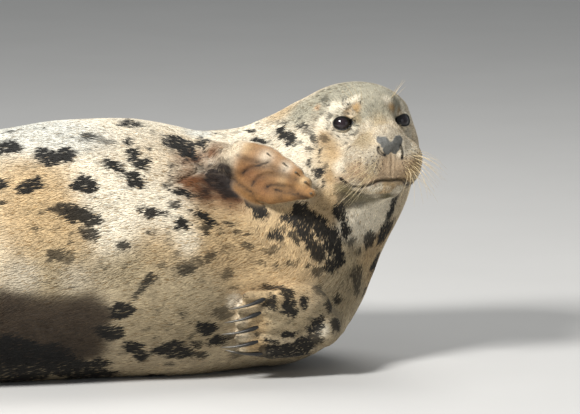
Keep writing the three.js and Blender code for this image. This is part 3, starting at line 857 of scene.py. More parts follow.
# ---------------------------------------------------------------- markings
# Blotches: middle in pixels, half width, half height, tilt in degrees (clockwise) and strength.
BLOTCHES = [
    (15, 132, 5, 3, 0, .8), (13, 147, 14, 9, -10, 1), (52, 156, 14, 10, 10, 1), (68, 154, 12, 8, 0, 1),
    (34, 166, 3, 2, 0, .7), (30, 186, 8, 8, 0, 1), (40, 182, 7, 6, 0, 1), (6, 182, 7, 6, 0, 1),
    (86, 184.5, 13, 8.5, 0, 1), (90, 136.5, 10, 3, 0, .8), (108, 142, 10, 3, 20, .6), (92, 151, 4, 2.5, 0, .5),
    (134.5, 124.5, 12.5, 3.5, 0, .9), (131, 141, 5, 6, 0, .9), (136, 155, 7, 9, 0, .95), (145, 165, 8, 8, 0, .95),
    (118, 167, 12, 6, 32, 1), (138, 180, 12, 7, 32, 1), (152, 148, 3, 3, 0, .8), (176, 143, 12, 11, 0, 1),
    (190, 149, 11, 13, 20, 1), (205.5, 143.5, 5.5, 9, 0, 1), (66, 207, 12, 5, 10, .8), (78, 214, 13, 8, 10, .85), (93, 219, 10, 6, 20, .85),
    (91, 233, 10, 7, 0, .8), (37, 225, 4, 3, 0, .7), (4, 202, 4, 4, 0, .8), (156.5, 212, 14.5, 5.5, 15, .85),
    (178, 203.5, 6, 4.5, 0, .8), (186.5, 225, 8.5, 5, 30, .95), (181, 191.5, 15, 2.4, 21, .9), (172, 231, 3, 2, 0, .6),
    (171, 240, 3, 2, 0, .6), (126.5, 245, 6.5, 5, 0, .8), (250.5, 131.5, 6.5, 3, 10, 1), (262.5, 140.5, 9.5, 4.2, 15, 1),
    (220, 131, 12, 1.5, 0, .5), (285, 123, 6, 3, 0, .7), (284, 132, 8, 6, 25, 1), (292, 139, 8, 6, 40, 1),
    (309.5, 131.5, 6, 4, 0, .6), (323.5, 138, 3.5, 4, 0, .6), (309, 149.5, 3, 4, 0, .7), (320, 173, 5, 5, 0, .9),
    (318, 146, 3, 3, 0, .6), (313, 160, 3, 2, 0, .5), (315, 118, 4, 3, 0, .4), (251, 200, 7, 8, 20, .95),
    (260, 211, 8, 8, 20, .95), (209, 219.5, 16, 4.5, 32, .9), (208, 228, 5, 5, 0, .8), (234, 222, 4, 2.5, 0, .8),
    (303, 211, 12, 8, 15, 1), (314, 218, 15, 9, 36, 1), (322, 230, 10, 9, 50, 1), (333.5, 237.5, 13.5, 8, 64, 1),
    (338.5, 257, 11, 6.5, 95, 1), (315, 247.5, 14, 5.5, 52, .85), (318, 268.5, 9, 5, 0, .7), (276.5, 233.5, 8, 5, 35, .85),
    (341.5, 212, 7.5, 10, 0, .9), (345, 199, 8, 5, 20, .6), (370, 237.5, 8, 9, 0, .8), (350.5, 240, 7, 4, 0, .7),
    (359, 251, 3, 3, 0, .7), (357.5, 277, 5.5, 14.5, -6, .7), (392, 208, 14, 4.5, 108, 1), (385, 230, 14, 5, 112, 1),
    (376, 261, 13, 4.5, 115, 1), (366, 286, 4, 7, 15, .8), (320.5, 290, 8, 6, 0, .6), (338.5, 298, 6, 5, 0, .8),
    (329.5, 306, 5, 7, 0, .8), (336, 325, 6, 7, 20, .8), (270, 287, 7, 4.4, 10, .8), (279, 288, 9, 4.4, 10, .85), (287, 293, 7, 6, 10, .85),
    (272, 304.3, 8.5, 6, 0, .85), (290, 304, 6, 7, 0, .9), (291, 312, 8, 4.6, 0, .95), (305.5, 302.5, 6, 6, 0, .9),
    (315.5, 326, 6, 10, 40, .95), (290, 333, 9.5, 4.2, 0, .9), (272, 341, 6.5, 2.4, 0, .9), (284, 350, 15, 7, 0, 1),
    (303, 346, 12, 10, -25, 1), (315, 340, 7, 8, 40, .8), (223.5, 311, 9.5, 6, 0, .6), (208, 328, 11, 8, 0, 1),
    (219, 341, 10, 5.5, 0, 1), (198, 344, 6, 3.8, 0, .9), (179, 345, 8, 4, 0, .9), (192, 337, 4, 3, 0, .7), (203, 355, 8, 4, 0, .8), (194, 355, 5, 3, 0, .8), (189, 270.5, 9, 5, 0, .75),
    (213, 255.7, 8, 4, -30, .7), (200, 261, 6, 4, 0, .6), (229.5, 273.5, 6, 5, 0, .6), (271.4, 250, 7, 4, 0, .6),
    (228.6, 247, 6, 3, 0, .4), (234, 223, 5, 2, 0, .7), (57, 254, 9, 7, 0, .7), (71, 256, 8, 5, 0, .6),
    (126, 248, 4, 3, 0, .5), (180, 252, 4, 3, 0, .5), (163, 264, 4, 3, 0, .5), (186, 266, 13, 5, 0, .5),
    (150, 281, 10, 4.5, -52, .8), (142, 293, 8, 4, -52, .8), (124, 310.5, 11, 8.5, 0, .9), (116, 333.5, 9, 11, 0, 1),
    (136, 348, 10, 8, 0, 1), (145, 356, 9, 7, 0, 1), (80, 364, 16, 7, 0, 1), (98, 363, 12, 6, 0, 1),
    (168, 351, 11, 9, 0, 1), (184, 353, 10, 8, 0, 1), (170, 322, 2, 2, 0, .6), (172, 329, 2, 2, 0, .6),
    # The wide dark patches at the lower left, from (10, 352) to (98, 372), make the coat darker towards the floor.
    (148, 328, 2, 2, 0, .6), (157, 338, 2, 2, 0, .6), (185, 336, 2, 2, 0, .6), (30, 356, 36, 15, 4, 1),
    (240, 354, 8, 4, 0, .6), (10, 352, 30, 16, 2, 1), (50, 362, 34, 12, 4, 1), (20, 372, 34, 12, 2, 1),
    (90, 372, 30, 8, 3, 1), (60, 348, 16, 7, 8, .8), (104, 330, 8, 5, 40, .8), (300, 197, 11, 2.0, 8, .6),
    (299, 222, 12, 7, 40, 1), (327, 246, 9, 6, 60, .95), (295, 237, 8, 4.5, 40, .8), (346, 228, 5, 9, 10, .9),
    (330, 264, 8, 5, 60, .85), (286, 217, 8, 4, 25, .9), (306, 233, 8, 5, 40, .9), (281, 226, 6, 3, 30, .7),
    (306, 126, 5, 3, 0, .8), (314, 138, 3.5, 5, 0, .8), (321, 153, 3, 4, 0, .8), (310, 163, 3.5, 5, 10, .8),
    (316, 171, 4, 3, 0, .8), (325, 183, 3, 4, 0, .8), (302, 142, 3, 3, 0, .6), (328, 167, 2.5, 3, 0, .6),
    (248, 246, 5, 3, 30, .7), (262, 262, 5, 3, 10, .6), (292, 262, 5, 4, 0, .6), (240, 232, 6, 2.6, 30, .7),
    (354, 202, 12, 3.4, 5, .45), (340, 193, 7, 4, 20, .5), (326.5, 100, 6, 4, 0, .5),
]
# The far side, the hind body and the underside carry blotches of the same kind, strewn by chance.
FAR_BLOTCHES = 230


def skin_frame_of_view():
    return np.stack([vec(1, 0, 0), -SIGHT_UP, SIGHT], axis=1)


def laid_blotches():
    """Each blotch as a middle on the skin, three axes with their half lengths, and a strength."""
    laid = []
    for u, v, wide, high, tilt, strength in BLOTCHES:
        middle = seen_at(u, v)
        if middle is None:
            middle = seen_at(u, v + 3)
        if middle is None:
            continue
        across = FOCAL_PIXELS / ((middle - EYE_POINT) @ SIGHT)
        c, s = math.cos(math.radians(tilt)), math.sin(math.radians(tilt))
        axes = skin_frame_of_view() @ np.array([[c, -s, 0], [s, c, 0], [0, 0, 1]])
        half = np.array([wide, high, max(wide, high) * 1.5]) / across * 1.07
        laid.append((middle, axes, half, min(1, strength * 1.15)))
    chance = np.random.default_rng(41)
    places = mesh_points(skin)
    ways = mesh_normals(skin)
    u, v, _ = in_view(places)
    unseen = ((ways @ SIGHT > 0.05) | (u < -12)) & (head_frame(places)[:, 1] > 25)
    candidates = np.where(unseen)[0]
    seen = np.where((ways @ SIGHT < -0.2) & (u > 0) & (places[:, 0] < 300) & (places[:, 2] > 30))[0]
    for index in chance.choice(seen, 480, replace=False):
        size = 1.6 + 3.6 * chance.random() ** 2
        laid.append((places[index], skin_frame_of_view(), np.array([size * chance.uniform(0.8, 1.8), size, size * 1.6]),
                     chance.uniform(0.35, 0.9)))
    for index in chance.choice(candidates, FAR_BLOTCHES, replace=False):
        way = ways[index]
        along = unit(vec(1, 0.1, 0) - (vec(1, 0.1, 0) @ way) * way)
        axes = np.stack([along, np.cross(way, along), way], axis=1)
        size = 9 + 20 * chance.random() ** 2
        laid.append((places[index], axes, np.array([size * chance.uniform(0.9, 1.7), size, size * 2.0]),
                     chance.uniform(0.55, 1.0)))
    return laid


blotches = laid_blotches()


def marks_at(q):
    """How deep each point lies in a dark blotch, in millimetres, negative outside, and how dark it is there."""
    warp = np.stack([value_noise(q / 21, 11), value_noise(q / 21, 12), value_noise(q / 21, 13)], axis=1) * 7.0
    warp += np.stack([value_noise(q / 7, 14), value_noise(q / 7, 15), value_noise(q / 7, 16)], axis=1) * 3.4
    moved = q + warp
    depth = np.full(len(q), -40.0)
    strength = np.zeros(len(q))
    for middle, axes, half, strong in blotches:
        near = np.where(np.linalg.norm(moved - middle, axis=1) < half.max() + 30)[0]
        if not len(near):
            continue
        local = (moved[near] - middle) @ axes
        away = np.linalg.norm(local / half, axis=1)
        inside = (1 - away) * min(half[0], half[1])
        better = inside > depth[near]
        depth[near[better]] = inside[better]
        close = smoothstep(-6, 1, inside) * strong
        strength[near] = np.maximum(strength[near], close)
    return depth, strength


# Colours of the dry coat and the bare skin, as they look in even light, in sRGB; CHIN_SHADE is painted shade under the
# chin.
def paint(red, green, blue):
    s = np.array([red, green, blue]) / 255.0
    return np.where(s <= 0.04045, s / 12.92, ((s + 0.055) / 1.055) ** 2.4)


CREAM = paint(221, 210, 187)
SAND = paint(184, 157, 116)
TAWNY = paint(166, 132, 84)
PALE = paint(206, 204, 192)
STONE = paint(158, 142, 112)
OLIVE = paint(152, 147, 128)
BACK_GREY = paint(138, 134, 118)
WET_BROWN = paint(58, 47, 35)
RUST = paint(106, 66, 36)
FACE_GREY = paint(184, 172, 150)
MUZZLE_BROWN = paint(178, 154, 124)
UMBER = paint(34, 22, 14)
PALM_TAN = paint(134, 95, 52)
COAL = paint(16, 15, 13)
SLATE = paint(88, 88, 84)
LIP_DARK = paint(28, 20, 15)
ORANGE = paint(196, 150, 104)
CHIN_SHADE = paint(98, 90, 62)

# Patches of tone: pixel, radius in millimetres, colour and weight.
TONES = [
    (60, 128, 70, PALE, 1), (120, 118, 60, CREAM, 1), (20, 130, 60, PALE, 1), (175, 128, 30, CREAM, 1),
    (200, 134, 20, PALE, 1.6), (40, 200, 60, SAND, 1), (112, 190, 50, CREAM, 1.2), (120, 225, 40, CREAM, 1.2),
    (60, 232, 50, SAND, 1), (165, 215, 40, CREAM, 1), (160, 245, 40, SAND, 0.8), (140, 270, 50, STONE, 1), (180, 300, 50, STONE, 1.2),
    (215, 290, 40, STONE, 1), (60, 275, 50, STONE, 1), (230, 240, 60, SAND, 1.4), (280, 262, 60, SAND, 1.4),
    # The two FACE_GREY patches on the flank, at (30, 277) and (75, 278), are a painted highlight: the pale band of
    # sheen just above the dark lower flank.
    (190, 240, 20, CREAM, 1.2), (240, 270, 40, SAND, 1), (104, 316, 14, WET_BROWN, 3), (30, 277, 22, FACE_GREY, 1.8), (75, 278, 22, FACE_GREY, 1.5),
    (150, 320, 40, STONE, 1), (200, 330, 40, STONE, 1), (300, 160, 40, CREAM, 1.6), (270, 128, 40, CREAM, 1),
    (245, 126, 30, CREAM, 1), (322, 160, 30, SAND, 1), (300, 195, 30, SAND, 1), (330, 205, 26, SAND, 1.4),
    (290, 225, 30, SAND, 1), (352, 222, 20, CREAM, 1.4), (366, 214, 34, CREAM, 2.6), (378, 206, 20, CREAM, 2.2),
    (350, 280, 50, STONE, 1.2), (366, 258, 24, SAND, 1.2), (380, 240, 22, SAND, 1.6), (372, 268, 20, SAND, 1.2), (330, 300, 40, STONE, 1),
    (345, 262, 30, STONE, 1), (365, 88, 46, OLIVE, 1.8), (330, 96, 30, OLIVE, 1.4), (395, 100, 26, OLIVE, 1.2),
    (370, 112, 20, OLIVE, 1.6), (300, 112, 30, OLIVE, 1.1), (280, 116, 26, SAND, 1), (326, 122, 9, CREAM, 3),
    (333, 107, 9, CREAM, 3), (344, 104, 9, CREAM, 2.4), (342, 134, 9, CREAM, 1.8), (410, 117, 8, CREAM, 2.6),
    (405, 132, 8, CREAM, 2.4), (402, 108, 8, CREAM, 2.6), (355.5, 99, 8, CREAM, 3), (388, 100, 8, CREAM, 3),
    (357, 108, 8, TAWNY, 2.4), (392, 107, 7, TAWNY, 2), (345, 145, 18, FACE_GREY, 2.0), (328, 150, 18, SAND, 1.2),
    (362, 140, 16, STONE, 1.2), (350, 156, 16, FACE_GREY, 1.8), (340, 168, 14, CREAM, 1.4), (370, 160, 14, FACE_GREY, 1.6), (356, 172, 17, MUZZLE_BROWN, 3.0), (342, 178, 12, MUZZLE_BROWN, 2.0), (370, 180, 12, MUZZLE_BROWN, 2.0),
    (372, 170, 10, FACE_GREY, 1.2), (402, 170, 14, MUZZLE_BROWN, 2.4), (408, 162, 12, MUZZLE_BROWN, 1.8),
    (386, 167, 16, MUZZLE_BROWN, 1.4), (385, 130, 14, FACE_GREY, 2.0), (366, 126, 12, FACE_GREY, 2.0), (380, 122, 10, STONE, 1.8), (376, 118, 12, STONE, 1.4), (408, 150, 16, CREAM, 1.2),
    (412, 166, 14, SAND, 1.4), (405, 178, 12, SAND, 1.4), (356, 182, 12, FACE_GREY, 1.2), (388, 186, 9, SAND, 2.4),
    (360, 200, 15, CHIN_SHADE, 2.8), (372, 200, 13, CHIN_SHADE, 2.4), (351, 196, 11, CHIN_SHADE, 2.4),
    (343, 187, 11, CHIN_SHADE, 1.8), (386, 197, 10, CHIN_SHADE, 2.0), (346, 204, 10, CHIN_SHADE, 1.6),
    (335, 150, 14, TAWNY, 1.2), (325, 140, 12, TAWNY, 1.0), (330, 175, 12, TAWNY, 1.0), (352, 128, 9, OLIVE, 1.4),
    (358, 118, 9, STONE, 1.6), (350, 113, 8, TAWNY, 2.0), (398, 112, 7, TAWNY, 1.6),
    (398, 190, 10, CREAM, 1.6), (372, 187.5, 5, CREAM, 4), (380, 186.5, 5, CREAM, 4), (388, 187, 5, CREAM, 4), (319, 107, 5, ORANGE, 1.6), (255, 149, 16, CREAM, 2.4), (228, 140, 18, CREAM, 2.4),
    (236, 300, 10, CREAM, 3), (280, 320, 24, STONE, 2), (262, 325, 14, SAND, 2.2), (258, 345, 12, SAND, 2.2),
    (300, 322, 20, STONE, 2), (320, 312, 10, STONE, 2), (324, 330, 8, CREAM, 1.6),
]
# The wet flank lies in three rows.
TONES += [(u, v, 25, WET_BROWN, 6) for v in (314, 330, 346) for u in range(0, 98, 14)]
tone_middles, tone_radii, tone_colours, tone_weights = [], [], [], []
for u, v, radius, colour, weight in TONES:
    middle = seen_at(u, v)
    if middle is None:
        middle = seen_at(u, v + 3)
    if middle is not None:
        tone_middles.append(middle)
        tone_radii.append(radius)
        tone_colours.append(colour)
        tone_weights.append(weight)


def palm_share(q, way):
    """1 on the bare palm of a fore flipper and 0 on its furred back."""
    share = np.zeros(len(q))
    for part in LIMBS:
        local = (q - part["place"]) @ part["turn"]
        side = way @ part["turn"][:, 2]
        on_hand = smoothstep(-10, 16, local[:, 0]) * own_flesh(part, q)
        share = np.maximum(share, on_hand * smoothstep(-0.1, -0.5, side))
    return share


def own_flesh(part, q):
    """1 on a limb's own surface and 0 on what lies round it."""
    return 1 - smoothstep(3, 9, np.abs(part["form"](q)))


def tone_at(q, way):
    """The coat's colour at each point, without its blotches, with painted shade on the surfaces that face down."""
    grey = smoothstep(20, 190, q[:, 1] - 0.25 * q[:, 2] + 30)[:, None]
    # Painted shade: the coat turns darker and greyer, towards stone, where its surface faces down.
    low = smoothstep(0.1, -0.8, way[:, 2])[:, None]
    base = CREAM * 0.6 + SAND * 0.4
    colour = base + (STONE - base) * low * 0.8
    colour = colour + (BACK_GREY - colour) * grey * 0.75
    total = np.full((len(q), 1), 0.05)
    mixed = colour * 0.05
    for middle, radius, patch, weight in zip(tone_middles, tone_radii, tone_colours, tone_weights):
        away = np.linalg.norm(q - middle, axis=1)
        near = np.where(away < radius * 3)[0]
        share = weight * np.exp(-(away[near] / radius) ** 2 * 1.2)[:, None]
        mixed[near] += share * patch
        total[near] += share
    colour = mixed / total
    mottle = 1 + 0.13 * value_noise(q / 24, 21) + 0.13 * value_noise(q / 7, 22) + 0.12 * value_noise(q / 3, 23)
    return np.clip(colour * mottle[:, None], 0, 1)


def near_lines(q, lines, width):
    share = np.zeros(len(q))
    for line in lines:
        d, _ = distance_to(q, line, width * 4)
        share = np.maximum(share, np.exp(-(d / width) ** 2))
    return share


def in_nose_pad(q):
    """1 inside the bare pad between the nostrils, whose top has two lobes."""
    local = head_frame(q)
    x, z = (local[:, 0] + 1.5) / 1.12, (local[:, 2] + 36) / 1.1 - 36
    wide = np.interp(z, [-54, -50, -42, -34, -28, -22], [9, 12, 15, 20, 23, 20])
    notch = np.exp(-(x / 6.5) ** 2) * 9.5
    top = -22 - notch
    foot = -53 + np.exp(-(x / 3.2) ** 2) * 4
    edge = np.minimum(np.minimum(wide - np.abs(x), top - z), z - foot)
    edge = edge + 1.6 * value_noise(q / 5, 31)
    return smoothstep(-0.8, 0.8, edge) * (local[:, 1] < -55)


def lid_share(q):
    """1 on the bare black rim of the lids, falling to 0 away from it, and the same for the pale ring round it."""
    rim, ring = np.zeros(len(q)), np.zeros(len(q))
    for eye in EYES.values():
        local = eye_frame(eye, q)
        distance = np.linalg.norm(local, axis=1)
        angle = np.arccos(np.clip(local[:, 1] / np.maximum(distance, 1e-6), -1, 1))
        past = np.degrees(angle - lid_angle(eye, np.arctan2(local[:, 2], local[:, 0])))
        near = distance < 40
        rim = np.maximum(rim, (distance < 25) * (1 - smoothstep(3.5, 6.5, past)))
        ring = np.maximum(ring, near * smoothstep(5, 9, past) * (1 - smoothstep(14, 30, past)))
    return rim, ring


def surface_of(q, way):
    """Everything the materials need at points of the surface: tone, blotch depth and strength, bare skin, wet rim."""
    tone = tone_at(q, way)
    depth, strength = marks_at(q)
    palm = palm_share(q, way)
    pad = in_nose_pad(q)
    rim, ring = lid_share(q)
    mouth = near_lines(q, [mouth_line], 4.0)
    holes = near_lines(q, nostril_lines, 3.2)
    for ear in EARS:
        away = np.linalg.norm(head_frame(q) - np.array(ear), axis=1)
        holes = np.maximum(holes, np.exp(-(away / 3.0) ** 2))
    # Painted shade in the creases: the coat is darkened along the fold lines of the neck and the armpit, and along the
    # chin's fold.
    folds = near_lines(q, [line for line in fold_lines["neck"] + fold_lines["armpit"] if len(line) > 1], 2.6) * 0.55
    folds = np.maximum(folds, near_lines(q, [chin_line], 4.0) * 0.5)
    tone = tone + (PALM_TAN - tone) * (palm * 0.95)[:, None]
    for place, radius, colour, share in PALM_PATCHES:
        tone = tone + (colour - tone) * (soft_patch(q, place, radius) * share * palm)[:, None]
    # Painted shade in the palm's creases: dark along each crease, with a wider, fainter band beside it.
    crease_shade = near_lines(q, fold_lines["palm"], 1.9) * palm
    crease_shade = np.maximum(crease_shade, near_lines(q, fold_lines["palm"], 6.5) * palm * 0.4)
    tone = tone + (UMBER * 0.45 - tone) * np.clip(crease_shade * 1.2, 0, 0.98)[:, None]
    tone = tone * (1 + palm * 0.16 * value_noise(q / vec(9, 5, 5), 71) + palm * 0.12 * value_noise(q / 3, 72))[:, None]
    # The painted shade of the creases darkens the tone here.
    tone = tone * (1 - 0.55 * folds)[:, None]
    tone = tone + (CREAM * 0.98 - tone) * (ring * 0.55)[:, None]
    # The wet nose, the lips and the lids' rims are dark bare skin.
    leather = SLATE * (1 + 0.3 * value_noise(q / 4, 74) + 0.25 * value_noise(q / 1.6, 75))[:, None]
    tone = tone + (leather - tone) * (pad * 0.97)[:, None]
    # The dark band along the mouth is the lips' bare skin, widened with painted shade under the upper lip.
    tone = tone + (LIP_DARK - tone) * np.clip(mouth * 1.6, 0, 1)[:, None]
    tone = tone + (COAL * 0.45 - tone) * rim[:, None]
    # Painted shade inside the nostrils and the ear openings.
    tone = tone + (COAL * 0.35 - tone) * np.clip(holes * 1.25, 0, 1)[:, None]
    # The armpit's rust stains and pale fur, with painted shade in the hollow under the flipper's root.
    for u, v, radius, colour, share in ARMPIT_STAIN_AND_SHADE:
        shade = np.clip(soft_patch(q, seen_at(u, v), radius) * share, 0, 0.96) * (1 - palm)
        shade = shade * (1 + 0.35 * value_noise(q / vec(16, 16, 5), 73))
        tone = tone + (colour - tone) * np.clip(shade, 0, 0.97)[:, None]
    # Painted shade along the armpit's folds.
    tone = tone + (UMBER * 0.7 - tone) * (near_lines(q, fold_lines["armpit"], 3.2) * (1 - palm) * 0.9)[:, None]
    clear = 1 - np.maximum.reduce([pad, rim, np.clip(mouth, 0, 1), holes])
    strength = strength * clear * (1 - 0.9 * palm)
    bare = np.maximum.reduce([palm * 0.9, pad, rim, mouth, holes])
    wet = np.maximum.reduce([pad * 0.8, rim, mouth * 0.3, holes * 0.3, soft_patch(q, WET_PLACE, 85)])
    return tone, depth, strength, bare, wet


def soft_patch(q, place, radius):
    if place is None:
        return np.zeros(len(q))
    return np.exp(-(np.linalg.norm(q - place, axis=1) / radius) ** 2 * 1.4)


# The armpit: rust stains and pale fur, and umber patches that are painted shade in the hollow under the flipper's root.
ARMPIT_STAIN_AND_SHADE = [
    (210, 186, 46, RUST, 1.3), (234, 194, 34, RUST, 1.2), (190, 182, 32, RUST, 1.0), (196, 158, 30, RUST, 0.9),
    (216, 152, 24, RUST, 0.9), (184, 160, 26, RUST, 0.6), (202, 170, 12, CREAM, 0.7), (212, 162, 9, CREAM, 0.6), (222, 178, 30, UMBER * 0.7, 2.6), (233, 186, 26, UMBER * 0.6, 2.4),
    (208, 192, 18, UMBER, 0.9), (214, 140, 13, CREAM, 1.0), (229, 141, 13, CREAM, 1.0),
]
WET_PLACE = seen_at(50, 312)
PALM_PATCHES = [
    (seen_at(243, 147), 18, SAND, 0.9), (seen_at(226, 141), 16, CREAM, 0.7), (seen_at(266, 157), 18, CREAM, 0.55),
    (seen_at(286, 167), 15, CREAM, 0.6), (seen_at(303, 180), 12, SAND, 0.8), (seen_at(248, 172), 24, RUST, 0.7),
    (seen_at(228, 160), 20, RUST, 0.9), (seen_at(265, 190), 22, RUST, 0.5), (seen_at(282, 180), 12, SAND, 0.4),
    (seen_at(302, 198), 12, UMBER * 2, 0.55), (seen_at(280, 197), 12, UMBER * 2, 0.4), (seen_at(292, 189), 10, UMBER * 3, 0.35),
    (seen_at(225, 168), 14, UMBER * 2, 0.7), (seen_at(258, 180), 18, RUST, 0.5),
]


def vector_attribute(mesh, name, values):
    layer = mesh.attributes.new(name, "FLOAT_VECTOR", "POINT")
    layer.data.foreach_set("vector", np.ascontiguousarray(values, dtype=np.float32).ravel())


def number_attribute(mesh, name, values):
    layer = mesh.attributes.new(name, "FLOAT", "POINT")
    layer.data.foreach_set("value", np.ascontiguousarray(values, dtype=np.float32))


skin_points, skin_normals = mesh_points(skin), mesh_normals(skin)
tone, depth, strength, bare, wet = surface_of(skin_points, skin_normals)
vector_attribute(skin, "tone", tone)
number_attribute(skin, "blotch_depth", depth)
number_attribute(skin, "blotch_strength", strength)
number_attribute(skin, "bare", bare)
number_attribute(skin, "wet", wet)


# ---------------------------------------------------------------- finishes
def grain_group():
    """The fine uneven grain that every finish here shares, on the piece's own coordinates."""
    group = bpy.data.node_groups.new("grain", "ShaderNodeTree")
    for name in ("Scale", "Detail", "Roughness"):
        group.interface.new_socket(name, in_out="INPUT", socket_type="NodeSocketFloat")
    group.interface.new_socket("Grain", in_out="OUTPUT", socket_type="NodeSocketFloat")
    given, result = group.nodes.new("NodeGroupInput"), group.nodes.new("NodeGroupOutput")
    where, noise = group.nodes.new("ShaderNodeTexCoord"), group.nodes.new("ShaderNodeTexNoise")
    group.links.new(where.outputs["Object"], noise.inputs["Vector"])
    for name in ("Scale", "Detail", "Roughness"):
        group.links.new(given.outputs[name], noise.inputs[name])
    group.links.new(noise.outputs["Fac"], result.inputs["Grain"])
    return group


GRAIN = grain_group()


class Finish:
    """A material's node tree with a Principled shader, and short ways to add to it."""

    def __init__(self, name):
        self.material = bpy.data.materials.new(name)
        self.material.use_nodes = True
        self.tree = self.material.node_tree
        self.shader = self.tree.nodes["Principled BSDF"]

    def node(self, kind, **settings):
        node = self.tree.nodes.new(kind)
        for key, value in settings.items():
            setattr(node, key, value)
        return node

    def link(self, out, into):
        self.tree.links.new(out, into)

    def set(self, **values):
        for key, value in values.items():
            self.shader.inputs[key.replace("_", " ")].default_value = value

    def attribute(self, name, out="Fac"):
        return self.node("ShaderNodeAttribute", attribute_name=name).outputs[out]

    def noise(self, scale, detail=3.0, rough=0.5):
        node = self.node("ShaderNodeGroup", node_tree=GRAIN)
        for name, value in (("Scale", scale), ("Detail", detail), ("Roughness", rough)):
            node.inputs[name].default_value = value
        return node.outputs["Grain"]

    def math(self, operation, *inputs):
        node = self.node("ShaderNodeMath", operation=operation)
        for socket, value in zip(node.inputs, inputs):
            if isinstance(value, (int, float)):
                socket.default_value = value
            else:
                self.link(value, socket)
        return node.outputs[0]

    def span(self, value, low, high, to_low=0.0, to_high=1.0):
        node = self.node("ShaderNodeMapRange", interpolation_type="SMOOTHSTEP")
        for name, number in (("From Min", low), ("From Max", high), ("To Min", to_low), ("To Max", to_high)):
            node.inputs[name].default_value = number
        self.link(value, node.inputs["Value"])
        return node.outputs["Result"]

    def mix(self, share, first, second, blend="MIX"):
        node = self.node("ShaderNodeMix", data_type="RGBA", blend_type=blend)
        for socket, value in ((node.inputs["Factor"], share), (node.inputs["A"], first), (node.inputs["B"], second)):
            socket = next(s for s in node.inputs if s.name == socket.name and s.enabled and (
                s.type == "RGBA" or s.name == "Factor"))
            if isinstance(value, (int, float)):
                socket.default_value = value
            elif isinstance(value, (tuple, list, np.ndarray)):
                socket.default_value = (*[float(c) for c in value[:3]], 1.0)
            else:
                self.link(value, socket)
        return next(s for s in node.outputs if s.enabled and s.type == "RGBA")

    def bump(self, height, distance, strength=1.0):
        node = self.node("ShaderNodeBump")
        node.inputs["Distance"].default_value = distance
        node.inputs["Strength"].default_value = strength
        self.link(height, node.inputs["Height"])
        self.link(node.outputs["Normal"], self.shader.inputs["Normal"])


def blotched(finish, tone):
    """Lays the dark blotches over the coat's own tone, with an edge broken up by noise."""
    edge = finish.math("ADD", finish.attribute("blotch_depth"),
                       finish.math("MULTIPLY_ADD", finish.noise(260, 4, 0.6), 5.0, -2.5))
    share = finish.math("MULTIPLY", finish.span(edge, -1.6, 1.2), finish.attribute("blotch_strength"))
    return finish.mix(finish.math("MULTIPLY", share, 0.96), tone, COAL * 0.9)


def skin_finish():
    """Short wet-backed fur lying flat on the skin, bare and glossy at the nose, lips and lids."""
    finish = Finish("sealskin")
    tone = finish.mix(finish.span(finish.noise(420, 5, 0.65), 0.35, 0.7, 0.0, 0.32), finish.attribute("tone", "Color"),
                      UMBER, "MULTIPLY")
    finish.link(blotched(finish, tone), finish.shader.inputs["Base Color"])
    rough = finish.span(finish.attribute("wet"), 0.1, 0.9, 0.68, 0.30)
    finish.link(finish.math("ADD", rough, finish.math("MULTIPLY_ADD", finish.noise(150), 0.16, -0.08)),
                finish.shader.inputs["Roughness"])
    finish.set(Specular_IOR_Level=0.28, Sheen_Weight=0.03, Sheen_Roughness=0.5)
    furry = finish.math("ADD", finish.noise(1300, 3, 0.6), finish.noise(300, 2))
    wrinkled = finish.math("MULTIPLY", finish.noise(190, 5, 0.65), finish.attribute("bare"))
    finish.bump(finish.math("MULTIPLY_ADD", wrinkled, 3.0, furry), 0.0009, 0.6)
    return finish.material


def coat_finish(name, roughness):
    """Tufts: the tone of the place where each one grows, a little darker at its root with painted shade."""
    finish = Finish(name)
    # Painted shade: each tuft darkens towards its root, where the tufts lie over each other.
    shade = finish.mix(finish.span(finish.attribute("along"), 0.0, 0.6, 0.34, 0.0), finish.attribute("tone", "Color"),
                       UMBER, "MULTIPLY")
    grain = finish.span(finish.noise(900, 2), 0.3, 0.7, 0.86, 1.08)
    finish.link(finish.mix(1.0, shade, combine(finish, grain), "MULTIPLY"), finish.shader.inputs["Base Color"])
    finish.link(finish.math("MULTIPLY_ADD", finish.noise(60), 0.2, roughness - 0.1), finish.shader.inputs["Roughness"])
    finish.set(Specular_IOR_Level=0.22, Sheen_Weight=0.06, Sheen_Roughness=0.45)
    return finish.material


def combine(finish, value):
    node = finish.node("ShaderNodeCombineColor")
    for socket in node.inputs:
        finish.link(value, socket)
    return node.outputs["Color"]


skin.materials.append(skin_finish())


# ---------------------------------------------------------------- the coat's tufts
TUFT_TOTAL = 236000
TRUNK_LINE = np.vstack([TRUNK[:, :3], [(200, 42, 330), (285, 10, 430)]])


def along_trunk(q):
    """The direction towards the tail and the distance along the body's middle line at each point, and the middle."""
    best = np.full(len(q), 1e9)
    way, length, middle = np.zeros((len(q), 3)), np.zeros(len(q)), np.zeros((len(q), 3))
    done = 0.0
    for a, b in zip(TRUNK_LINE, TRUNK_LINE[1:]):
        line = b - a
        t = np.clip((q - a) @ line / (line @ line), 0, 1)
        near = a + t[:, None] * line
        d = np.linalg.norm(q - near, axis=1)
        closer = d < best
        best[closer] = d[closer]
        length[closer] = done + t[closer] * np.linalg.norm(line)
        middle[closer] = near[closer]
        done += np.linalg.norm(line)
    step = np.array([unit(b - a) for a, b in zip(TRUNK_LINE, TRUNK_LINE[1:])])
    stops = np.concatenate([[0], np.cumsum(np.linalg.norm(np.diff(TRUNK_LINE, axis=0), axis=1))])
    halves = (stops[1:] + stops[:-1]) / 2
    for axis in range(3):
        way[:, axis] = -np.interp(length, halves, step[:, axis])
    return unit(way), length / done, middle


